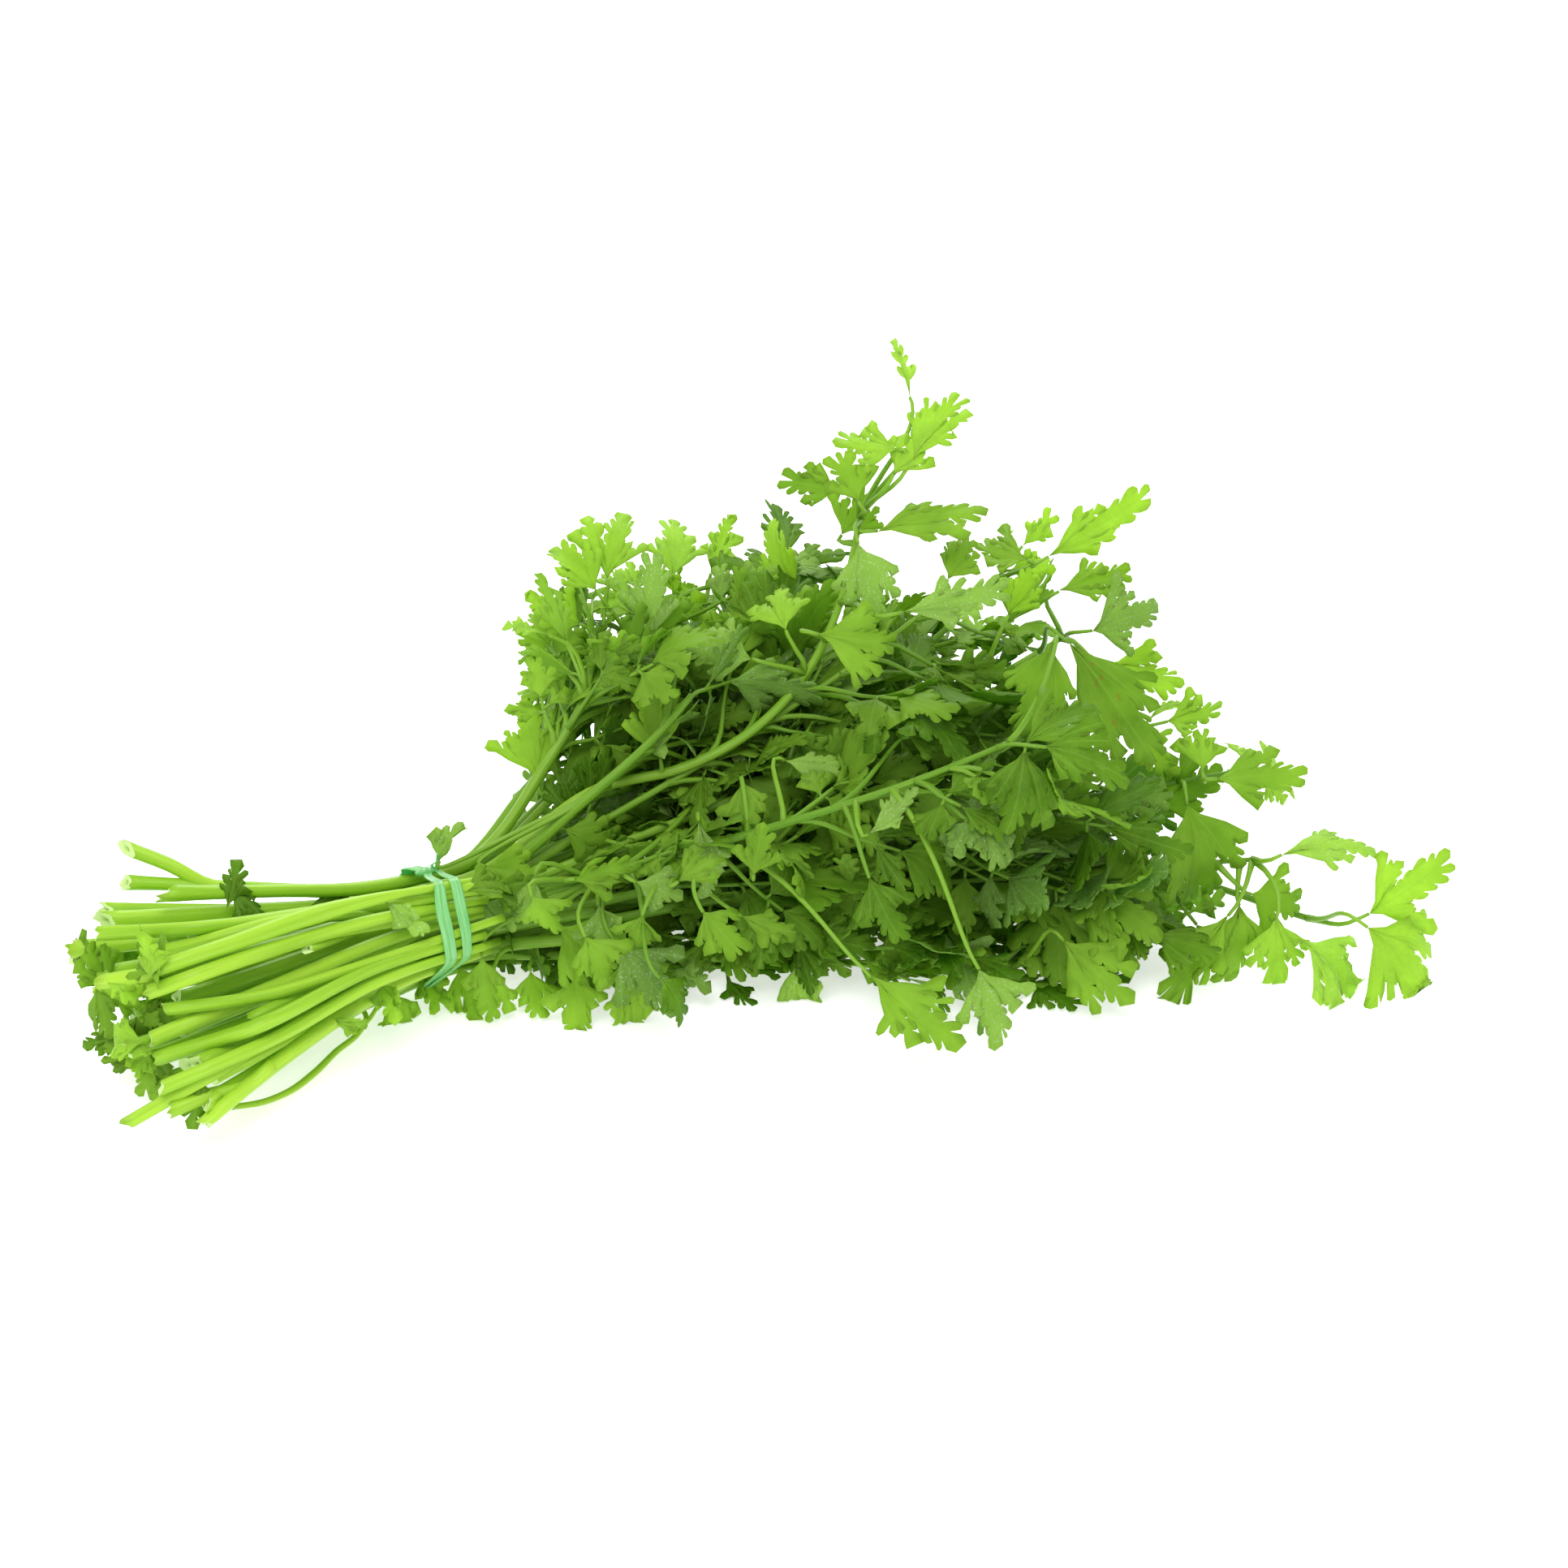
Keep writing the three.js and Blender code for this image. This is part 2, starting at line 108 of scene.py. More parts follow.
# Colours and surfaces.
VEIN_GAP = 3.4  # between the side veins of a lobe
LEAF = {
    # deep and bright: painted shade and painted light on the leaves, mixed by each leaf's tint and a random
    # tone
    "deep": (0.05, 0.14, 0.003, 1),
    "bright": (0.39, 0.67, 0.06, 1),
    "grain": (0.2, 0.38, 0.02, 1),
    "vein": (0.42, 0.66, 0.12, 1),
    "under": (0.22, 0.42, 0.05, 1),
    # a painted sheen for wet leaves
    "wet": (0.4, 0.58, 0.2, 1),
    # painted glints of water drops
    "droplet_glint": (0.72, 0.82, 0.6, 1),
    "brown": (0.3, 0.14, 0.03, 1),
    # the same painted shade and light in the light let through
    "deep_through": (0.14, 0.42, 0.002, 1),
    "bright_through": (0.74, 1.0, 0.13, 1),
    "vein_through": (0.4, 0.66, 0.06, 1),
}
STALK = {
    "young": (0.26, 0.54, 0.015, 1),
    "bright": (0.46, 0.74, 0.045, 1),
    "old": (0.1, 0.26, 0.01, 1),
    "ripe": (0.24, 0.47, 0.03, 1),
    "streak": (0.62, 0.84, 0.16, 1),
    "blotch": (0.15, 0.38, 0.01, 1),
    "flesh": (0.68, 0.88, 0.34, 1),
    # painted shade at the bottom of a cut end's hollow
    "hollow": (0.3, 0.54, 0.07, 1),
    "through": (0.5, 0.85, 0.05, 1),
}
TAPE_COLOURS = {"dark": (0.18, 0.56, 0.17, 1), "light": (0.44, 0.82, 0.38, 1), "through": (0.3, 0.9, 0.4, 1)}
SKINS = {  # roughness, shine, strength and depth in metres of the bumps, and the share of light let through
    "leaf": {"rough": 0.5, "shine": 0.12, "bump": 0.3, "deep": 0.0002, "through": 0.42},
    "stalk": {"rough": 0.36, "shine": 0.26, "bump": 0.25, "deep": 0.0002, "through": 0.22},
    "tape": {"rough": 0.28, "shine": 0.55, "bump": 0.4, "deep": 0.0003, "through": 0.35},
}

# The part's stalks, and the leaves added between its own wherever there is room.
SPRIGS = 27
BARE_STALKS = 3
ROUNDS = 12  # each sprig gets one leaf a round
TRIES = 26  # at setting each leaf
REACHES = (17, 21, 25, 29, 34)  # of the added leaves, before each is varied a little
MIN_GAP = 1.8  # between the sample points of two leaves
CROWD = {"reach": 15, "few": 22, "many": 85}  # sample points seen near a leaf, from painted light through to painted shade
# Where the upper left and the top get painted light all the same: how far right of the tie and above it that
# fades.
SUNNY = ((12, 40, 34, 52), (50, 80, 72, 84))

LOOKS = {  # painted light and shade, from dark to lit through, with how much painted wet sheen and how old
    "lit": {"tint": 0.9},
    "pale": {"tint": 1.0, "wet": 0.5},
    "green": {"tint": 0.6},
    "mid": {"tint": 0.4},
    "dark": {"tint": 0.12},
    "silver": {"tint": 0.55, "wet": 1.0},
    "mature": {"tint": 0.3, "old": 1.0},
}
# The leaves that stand out in the picture: right of the tie and above it, the direction each points in,
# in degrees from the right, its reach, form and looks (painted light, shade and sheen, and age), and how much
# nearer it lies than the nearest stalk.
STANDOUT_LEAVES = (
    # the furthest right
    (216, 0, 28, 25, "fan", "lit", 4), (214, 0, -34, 32, "deep", "lit", 5),
    (194, 14, 25, 29, "long", "lit", 4), (179, 33, 10, 24, "deep", "green", 4),
    (178, 34, 100, 12, "fan", "green", 3), (174, 30, -82, 30, "fan", "mid", 4),
    (189, 6, -15, 15, "fan", "green", 3), (168, 25, 40, 18, "deep", "mid", -3),
    (163, 12, -20, 22, "deep", "green", -3), (196, 2, -95, 20, "deep", "lit", 2),
    (187, 5, -88, 23, "deep", "green", 5), (186, 3, -122, 31, "long", "green", 4),
    (200, -5, -42, 23, "deep", "pale", 3),
    # the upper right
    (141, 86, 33, 32, "long", "lit", 4), (140, 86, 168, 16, "deep", "green", 4),
    (132, 71, 62, 15, "fan", "lit", 4), (143, 77, 12, 19, "long", "green", 4),
    (150, 68, 4, 21, "deep", "mid", 4), (156, 62, -18, 20, "fan", "lit", -8),
    (143, 67, -48, 38, "long", "mature", 5), (142, 66, -112, 24, "fan", "mid", 4),
    # the tall sprig
    (108, 106, 62, 21, "long", "lit", 4), (107, 110, 172, 15, "deep", "lit", 4),
    (109, 121, 102, 14, "strip", "pale", 1), (93, 100, 165, 14, "deep", "mid", 4),
    (98, 91, 18, 27, "long", "green", 4), (104, 103, 60, 15, "deep", "lit", 3),
    (97, 97, 120, 13, "deep", "green", 3), (92, 90, 60, 15, "deep", "green", -4),
    (96, 90, -72, 18, "fan", "silver", 2), (84, 80, 148, 19, "fan", "lit", 4),
    (104, 71, 15, 26, "long", "silver", 4), (117, 79, 60, 14, "fan", "green", 4),
    # the upper left
    (36, 80, 75, 20, "deep", "lit", 4), (34, 78, 126, 15, "fan", "lit", 4),
    (31, 70, 155, 15, "deep", "lit", 4), (24, 67, 172, 12, "strip", "pale", 4),
    (51, 82, 80, 15, "fan", "pale", -4), (60, 84, 78, 17, "long", "pale", -4),
    (48, 65, 85, 21, "fan", "silver", 6), (61, 59, 80, 15, "fan", "lit", 4),
    (20, 30, 95, 25, "fan", "lit", -10),
    # the middle
    (50, 36, 100, 21, "deep", "green", 4), (73, 61, 165, 16, "fan", "green", 4),
    (80, 67, 110, 15, "fan", "lit", 4), (85, 67, -10, 21, "fan", "green", 4),
    (78, 38, -15, 14, "long", "green", 4), (69, 34, -80, 12, "fan", "mid", 4),
    (59, 25, -80, 19, "long", "silver", 6), (111, 25, -5, 14, "fan", "silver", 4),
    (97, 20, 30, 15, "long", "silver", 4), (111, 16, 8, 10, "fan", "silver", 4),
    (98, 12, -70, 17, "fan", "dark", 4),
    # beside the tie and along the near edge
    (-2, 13, 70, 10, "fan", "green", 4), (8, 13, -15, 14, "fan", "green", 4),
    (8, 5, -40, 10, "deep", "silver", 4), (10, 8, -10, 14, "fan", "dark", 3),
    (26, 22, -30, 14, "fan", "mid", 4), (22, 12, -100, 12, "fan", "mid", 6),
    (26, 0, -40, 20, "deep", "green", 8), (21, 7, -60, 11, "fan", "green", 3),
    (30, 10, 15, 13, "deep", "mid", 3), (36, 5, -75, 12, "deep", "mid", 3),
    (44, 10, -20, 12, "fan", "mid", 3), (47, 3, -110, 12, "deep", "mid", 3),
    (54, 9, 35, 12, "deep", "mid", 3), (60, 4, -60, 13, "deep", "mid", 3),
    (33, -2, -60, 13, "deep", "green", 3), (46, -4, -90, 14, "deep", "mid", 3),
    (68, 2, -30, 13, "long", "mid", 3), (72, 10, 80, 12, "deep", "mid", 3),
    # these three dark leaves, set far behind, fill a gap with painted shade
    (26, 27, 80, 18, "fan", "dark", -14), (32, 26, 50, 18, "fan", "dark", -14),
    (37, 31, 95, 18, "fan", "dark", -14), (9, -7, -80, 12, "fan", "green", 4),
    (40, -4, -50, 19, "deep", "dark", 6), (50, -11, -50, 13, "fan", "dark", 4),
    (42, -12, -70, 14, "fan", "lit", -4), (2, -10, -75, 13, "fan", "lit", -4),
    (-7, -13, -45, 10, "deep", "lit", -4), (-13, -16, -65, 11, "fan", "lit", -4),
    (11, -11, -95, 13, "fan", "lit", -4), (19, -11, -70, 13, "deep", "lit", -4),
    (30, -12, -85, 13, "fan", "lit", -4), (82, -9, -80, 12, "fan", "lit", -4),
    (97, -10, -38, 27, "long", "green", 5), (122, -8, -60, 22, "deep", "green", 4),
    (143, -3, -50, 24, "fan", "green", 4),
)
LEAFY_FROM = 20  # the first point of a sprig's route that such a leaf may belong to
# How near in the picture a leaf covers what is there, its gap in front of that, and how far in front of its
# stalk it lies at most, inside the bunch and where it stands free: this far right of the tie or above it.
COVER = {"near": 6, "gap": 3, "most": 45, "most_free": 12}
FREE_FROM = (150, 75)
TIE_LEAVES = 9  # small ones on each stalk that leaves the tie near the camera
BOWED = {18: 12}  # how far the middle of a sprig's stalk bows to the right
IN_SIGHT = {18: (8, 90), 2: (30, 66)}  # sprigs whose stalks show in front of the leaves, and how far along
# Points spread over a leaf, as shares of its reach along it and across it.
LEAF_SHARES = np.array([
    (0.1, 0), (0.4, 0), (0.7, 0), (1, 0), (0.6, 0.3), (0.6, -0.3), (0.9, 0.25), (0.9, -0.25),
    (0.25, -0.3), (0.25, 0.3), (0.4, -0.48), (0.4, 0.48), (0.1, 0.6), (0.1, -0.6),
])

# Stalks of the cut side that lie over the others: places in the picture, right of the tie and above it.
LOOSE_STALKS = (
    {"path": ((-77, -2), (-60, -1), (-39, 1), (-20, 4), (11, 9)), "radii": (1.8, 1.6, 1.3, 1.0)},
    {"path": ((-60, -29), (-36, -21), (-14, -10), (10, -3)), "radii": (1.8, 1.8, 1.4, 1.0)},
    {"path": ((-66, -43), (-45, -31), (-20, -17), (8, -8)), "radii": (1.6, 1.5, 1.4, 0.9)},
    {"path": ((-58, -35), (-34, -24.5), (-12, -12.5), (12, -5)), "radii": (1.7, 1.6, 1.4, 0.9)},
    {"path": ((-72, -12), (-55, -9), (-30, -3), (9, 3)), "radii": (1.8, 1.7, 1.4, 1.0)},
    {"path": ((-49, -43), (-30, -27), (-10, -14), (10, -7)), "radii": (1.6, 1.9, 1.6, 1.0), "forks": True},
    {"path": ((-66, -7), (-53, -4), (-34, 1), (-12, 4), (12, 8)), "radii": (1.7, 1.7, 1.4, 0.9)},
    {"path": ((-62, -25), (-36, -14), (-11, -3.5), (13, 3)), "radii": (1.9, 1.9, 1.6, 1.0)},
    {"path": ((-61, -14), (-38, -6), (-14, 1), (10, 5)), "radii": (1.8, 1.8, 1.5, 1.0)},
    {"path": ((-60, -9), (-45, -4), (-26, 2.7), (-13, 6), (10, 10)), "radii": (1.8, 1.9, 2.2, 1.0, 0.9)},
    {"path": ((-27, 2), (-20, 2), (-11, 1.9), (8, 3)), "radii": (1.3, 1.2, 1.0)},
    {"path": ((-58, -18), (-36, -15), (-16, -9), (14, 1)), "radii": (1.5, 1.5, 1.2, 1.0)},
    {"path": ((-28, -5), (-18, -2)), "radii": (1.2, 0.8)},
)
FORK_RADII = (1.8, 1.7, 1.5)
STEEPEST = 0.25  # how steeply a loose stalk may bend down where what is under it ends
# A thin shoot that curves away at the near side: right of the tie, above it in the picture, and its height.
SIDE_SHOOT = (
    (-45, -41, 2.5), (-39, -40.2, 1.2), (-34, -38.3, 1), (-28.8, -34.4, 1), (-24.4, -29.8, 1.5),
    (-20, -26, 2.5), (-18.5, -22.5, 4), (-21, -20, 5), (-23, -22, 4.5), (-19, -24, 4), (-15, -19, 8),
)
SIDE_SHOOT_RADII = (0.7, 0.85, 0.65, 0.5)
# Caught bits of leaf: right of the tie, above it, the way they point, length, tint and painted wet sheen.
LEAF_BITS = (
    (-49, 6, 70, 10, 0.12, 0), (-47, 6, -30, 9, 0.05, 0), (-36, 5, 200, 8, 0.05, 0), (-30, 4, 20, 8, 0.05, 0),
    (-20, 10, 5, 9, 0.3, 0), (-50, -36, -100, 10, 0.3, 0), (-21, -22, -30, 8, 0.8, 0),
    (-9, 3, -35, 12, 0.8, 1), (-6, 12, 60, 8, 0.3, 0), (9, 9, 30, 11, 0.4, 0), (-12, -16, -60, 9, 0.9, 0),
)
TORN_BITS = 70  # further bits among the cut ends
TORN_AREA = ((-81, -36), (-59, -5))

# The tie: its tape, and the two paths it is wound along. Each step of a path is a turn round the bunch in
# degrees, a length from the tie's centre, a width, and a lift off the stalks.
TAPE = {"thickness": 0.2, "pleat": 0.07, "step": 3.0, "columns": 11}
TAPE_PATHS = (
    ((95, -5.5, 2.2, 0.5), (112, -7.5, 2, 0.4), (127, -9, 2.3, 0.5), (140, -10.3, 3.2, 0.6),
     (200, -10.4, 3.1, 0.4), (235, -9.6, 2.6, 0.4), (250, -8.4, 2.6, 0.4), (330, -5, 3, 0.4),
     (400, -6, 3.6, 0.6), (424, -7.5, 4, 1.3), (440, -7.4, 3.8, 1.6), (453, -6.4, 2, 0.9)),
    ((95, -3.4, 1, 0.8), (106, -4, 1, 1), (122, -5.2, 2.2, 1.1), (140, -5.6, 2.8, 1.0), (155, -5.8, 2.6, 0.9),
     (178, -7, 1.8, 0.9), (200, -8.6, 1.7, 1), (235, -9.6, 1.7, 1), (250, -8.6, 2, 1), (330, -3, 3, 0.6),
     (400, -3.5, 2.6, 0.6), (430, -4, 2, 0.9), (453, -3.6, 1.2, 0.9)),
)
KNOT = {"lengths": (-9, -2.8), "turns": (99, 93), "rings": 22}
TAILS = ((4.6, 0.4, 1.1), (2.6, -1.2, 0.8))  # how far each end of the tape rises and leans, and its width
WRAP_LENGTHS = np.arange(-14.0, 9.0)
WRAP_TURNS = np.arange(0, 360, 3)

# The picture: turned and raised from the bunch's own length, with the tie left of and below its middle.
SIGHT = {"turn": 26, "rise": 30, "distance": 900, "tie_left": 79.04, "tie_below": 31.92, "lens": 87.2}
LAMPS = (("key", (-0.5, -0.7, 1.5), 14), ("back", (0.7, 1.3, 1.1), 16))  # places in metres, and power


# ---------------------------------------------------------------- vectors and curves


def unit(v):
    return v / np.maximum(np.linalg.norm(v, axis=-1, keepdims=True), 1e-12)


def turned(v, axis, degrees):
    """v turned about a unit axis."""
    angle = math.radians(degrees)
    along = axis * np.dot(axis, v)
    return along + (v - along) * math.cos(angle) + np.cross(axis, v) * math.sin(angle)


def ease(low, high, x):
    t = np.clip((x - low) / (high - low), 0, 1)
    return t * t * (3 - 2 * t)


def smooth_route(points, step):
    """A smooth curve through points, about a step between its own points, and where in the chain each is."""
    points = np.asarray(points, float)
    gaps = np.linalg.norm(np.diff(points, axis=0), axis=1)
    slopes = np.diff(points, axis=0) / gaps[:, None]
    tangents = np.empty_like(points)
    tangents[0], tangents[-1] = slopes[0], slopes[-1]
    before, after = gaps[:-1, None], gaps[1:, None]
    tangents[1:-1] = (slopes[:-1] * after + slopes[1:] * before) / (before + after)
    route, places = [], []
    for k, gap in enumerate(gaps):
        count = max(2, int(round(gap / step)))
        t = np.arange(count)[:, None] / count
        h = (2 * t**3 - 3 * t**2 + 1, t**3 - 2 * t**2 + t, -2 * t**3 + 3 * t**2, t**3 - t**2)
        route.append(
            h[0] * points[k] + h[1] * gap * tangents[k] + h[2] * points[k + 1] + h[3] * gap * tangents[k + 1]
        )
        places.append(k + t[:, 0])
    route.append(points[-1:])
    places.append([len(gaps)])
    return np.concatenate(route), np.concatenate(places)


def bowed(start, lead, back, end):
    """A smooth bow from a start, leaving towards lead and reaching its end from the side of back."""
    t = np.linspace(0, 1, max(3, int(np.linalg.norm(end - start) / 2.6)))[:, None]
    return (1 - t) ** 3 * start + 3 * t * (1 - t) ** 2 * lead + 3 * t * t * (1 - t) * back + t**3 * end


def square_to(v, way):
    """The direction nearest to v that is square to a unit way."""
    return unit(v - way * np.dot(v, way))


def lengths_along(route):
    """How far along a route each of its points is."""
    return np.concatenate([[0], np.cumsum(np.linalg.norm(np.diff(route, axis=0), axis=1))])


def way_at(route, k):
    """The direction of a route at one of its points."""
    return unit(route[min(k + 1, len(route) - 1)] - route[max(k - 1, 0)])


def lifted(points, height):
    """Points, with those under a height brought up to it."""
    points[:, 2] = np.maximum(points[:, 2], height)
    return points


def frames_along(route):
    """The direction along a route and two directions across it, turning as little as they can."""
    along = unit(np.gradient(route, axis=0))
    across = np.empty_like(route)
    across[0] = square_to(UP if abs(along[0][2]) < 0.9 else np.array([1.0, 0.0, 0.0]), along[0])
    for k in range(1, len(route)):
        across[k] = square_to(across[k - 1], along[k])
    return along, across, np.cross(along, across)


# ---------------------------------------------------------------- the view


def view_directions():
    """The way the camera looks, and what is right and up in its picture."""
    turn, rise = math.radians(SIGHT["turn"]), math.radians(SIGHT["rise"])
    ahead = np.array([math.cos(rise) * math.sin(turn), math.cos(rise) * math.cos(turn), -math.sin(rise)])
    right = np.array([math.cos(turn), -math.sin(turn), 0.0])
    return ahead, right, np.cross(right, ahead)


AHEAD, RIGHTWARD, UPWARD = view_directions()
TIE = np.sum(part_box("tie_turns"), axis=0) / 2 / MM


def seen(right_of, above, nearer):
    """The place this far right of the tie's centre, above it and nearer the camera."""
    return TIE + right_of * RIGHTWARD + above * UPWARD - nearer * AHEAD


def in_picture(points):
    """How far right of the tie's centre, above it and nearer the camera each point is seen."""
    return (points - TIE) @ np.stack([RIGHTWARD, UPWARD, -AHEAD], axis=1)


def far_off(picture, place):
    """How far from a place in the picture each point of the picture is."""
    return np.linalg.norm(picture[..., :2] - place, axis=-1)


def pointing(degrees, nearer):
    """A direction that is seen at an angle from the right, and leans this much towards the camera."""
    heading = math.radians(degrees)
    return unit(RIGHTWARD * math.cos(heading) + UPWARD * math.sin(heading) - AHEAD * nearer)


def facing_camera(rng, way, lean, spread):
    """A direction for a leaf's upper side, square to its way, towards the camera and leaning up."""
    return square_to(unit(-AHEAD + lean * UP + spread * rng.normal(size=3)), way)


def laid_out(shares, base, along, across, reach):
    """Places on a leaf, given as shares of its reach along it and across it."""
    return base + reach * (shares[:, :1] * along + shares[:, 1:] * across)


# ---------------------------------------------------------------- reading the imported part


def welded(name):
    """A CAD node's mesh in millimetres, with its split vertices joined."""
    made = bmesh.new()
    made.from_mesh(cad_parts[name].data)
    bmesh.ops.remove_doubles(made, verts=made.verts, dist=5e-6)
    bmesh.ops.triangulate(made, faces=made.faces)
    bmesh.ops.scale(made, vec=(1 / MM, 1 / MM, 1 / MM), verts=made.verts)
    made.normal_update()
    return made


def stalk_chain(name):
    """The centres and radii of a stalk's rings, from its cut end to its fork."""
    made = welded(name)
    rings = np.array(sorted(tuple(v.co) for v in made.verts)).reshape(-1, STALK_SIDES, 3)
    made.free()
    centres = rings.mean(axis=1)
    return centres, np.linalg.norm(rings[:, 0] - centres, axis=1)


def flat_patches(made):
    """Groups of touching triangles that share one plane and are large enough to be a face of a blade."""
    waiting = set(made.faces)
    patches = []
    for seed in sorted(made.faces, key=lambda f: (-f.calc_area(), f.index)):
        if seed not in waiting or seed.calc_area() < 2:
            continue
        normal, offset = seed.normal.copy(), seed.normal.dot(seed.verts[0].co)
        patch, edge = [], [seed]
        waiting.discard(seed)
        while edge:
            face = edge.pop()
            patch.append(face)
            for other in {f for v in face.verts for f in v.link_faces} & waiting:
                flat = other.normal.dot(normal) > 0.9999 or other.calc_area() < 1e-4
                if flat and all(abs(v.co.dot(normal) - offset) < 0.02 for v in other.verts):
                    waiting.discard(other)
                    edge.append(other)
        if sum(f.calc_area() for f in patch) > BLADE_SMALLEST_FACE:
            patches.append((np.array(normal), {v for f in patch for v in f.verts}))
    return patches


def fitted_blade(normal, corners):
    """How far off the blade outline is that best fits a patch's corners, its base, direction and reach."""
    best = None
    for i, j in combinations(range(len(corners)), 2):
        reach = np.linalg.norm(corners[i] - corners[j]) / BLADE_SPAN
        if not BLADE_REACHES[0] < reach < BLADE_REACHES[1]:
            continue
        across = unit(corners[i] - corners[j])
        for side in (-1, 1):
            along = side * np.cross(across, normal)
            base = (corners[i] + corners[j]) / 2 - along * BLADE_SIDE[2][0] * reach
            places = laid_out(BLADE_OUTLINE, base, along, across, reach)
            off = np.linalg.norm(places[:, None] - corners[None], axis=2).min(axis=1)
            error = np.sort(off)[: 3 * len(off) // 4].mean()
            if best is None or error < best[0]:
                best = (error, base, along, reach)
    return best


def blades_of(normal, verts):
    """Every blade outline that a flat patch holds."""
    corners = np.array(sorted(tuple(v.co) for v in verts))
    blades = []
    while len(corners) > len(BLADE_SIDE):
        fit = fitted_blade(normal, corners)
        if fit is None or fit[0] > 0.3:
            break
        _, base, along, reach = fit
        blades.append({"base": base, "along": along, "normal": normal, "reach": reach})
        places = laid_out(BLADE_OUTLINE, base, along, np.cross(normal, along), reach)
        corners = corners[np.linalg.norm(corners[:, None] - places[None], axis=2).min(axis=1) > 0.1]
    return blades


def ring_centre(loose, one, radius):
    """How many loose corners share a ring of this radius with one of them, and the ring's centre."""
    side = 2 * radius * math.sin(math.pi / SPRAY_SIDES)
    diagonal = 2 * radius * math.sin(2 * math.pi / SPRAY_SIDES)
    away = np.linalg.norm(loose - one, axis=1)
    mates = loose[(abs(away - side) < 0.01) | (abs(away - diagonal) < 0.01)]
    best = (0, None)
    for b, c in combinations(mates, 2):
        u, v = b - one, c - one
        w = np.cross(u, v)
        if np.dot(w, w) < 1e-6:
            continue
        centre = one + (np.dot(v, v) * np.cross(w, u) + np.dot(u, u) * np.cross(v, w)) / (2 * np.dot(w, w))
        out = np.abs(np.dot(mates - one, unit(w)))
        on = (abs(np.linalg.norm(mates - centre, axis=1) - radius) < 0.006) & (out < 0.006)
        if on.sum() > max(best[0], 1) and abs(np.linalg.norm(one - centre) - radius) < 0.006:
            best = (on.sum(), centre)
    return best


def spray_plan(name):
    """The centres of a leaf spray's rings past the fork, their radii, and its blades."""
    made = welded(name)
    blades, flat = [], set()
    for normal, verts in flat_patches(made):
        found = blades_of(normal, verts)
        if found:
            flat |= verts
        if normal[2] > 0:
            blades += found
    loose = np.array(sorted(tuple(v.co) for v in made.verts if v not in flat))
    made.free()
    rings = []
    for radius in RING_RADII:
        count, centre = max((ring_centre(loose, one, radius) for one in loose), key=lambda f: f[0])
        if count:
            rings.append((centre, radius))
    blades.sort(key=lambda b: tuple(np.round(b["base"], 2)))
    return np.array([c for c, _ in rings]), np.array([r for _, r in rings]), blades


# ---------------------------------------------------------------- meshes


class Shape:
    """Points, faces and per-point marks gathered for one mesh."""

    def __init__(self):
        self.points, self.faces, self.flat, self.marks = [], [], [], {}
        self.count = 0

    def add(self, points, faces, flat=(), **marks):
        """Adds points, their faces, and marks: a value or vector a point. flat faces aren't shaded smooth."""
        total = len(points)
        self.points.append(points)
        for group, is_flat in ((faces, False), (flat, True)):
            for face in group:
                self.faces.append([self.count + i for i in face])
                self.flat.append(is_flat)
        for name, value in marks.items():
            value = np.asarray(value, float)
            if not value.ndim or len(value) != total:
                value = np.broadcast_to(value, (total, *value.shape))
            self.marks.setdefault(name, []).append(value)
        self.count += total

    def made(self, name, slot):
        """The Blender object, riding on the part's one body, with the material of its slot."""
        mesh = bpy.data.meshes.new(name)
        mesh.from_pydata((np.concatenate(self.points) * MM).tolist(), [], self.faces)
        mesh.polygons.foreach_set("use_smooth", [not f for f in self.flat])
        for mark_name, values in self.marks.items():
            values = np.concatenate(values).astype(np.float32)
            kind, field = ("FLOAT", "value") if values.ndim == 1 else ("FLOAT_VECTOR", "vector")
            layer = mesh.attributes.new(mark_name, kind, "POINT")
            layer.data.foreach_set(field, values.ravel())
        mesh.materials.append(MATERIALS[slot])
        mesh.update()
        obj = bpy.data.objects.new(name, mesh)
        bpy.context.scene.collection.objects.link(obj)
        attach(obj, "root")
        return obj


def ring_faces(rings, sides):
    """Quads between rings of points that run along a tube."""
    faces = []
    for k in range(rings - 1):
        for a in range(sides):
            b = (a + 1) % sides
            faces.append((k * sides + a, k * sides + b, (k + 1) * sides + b, (k + 1) * sides + a))
    return faces


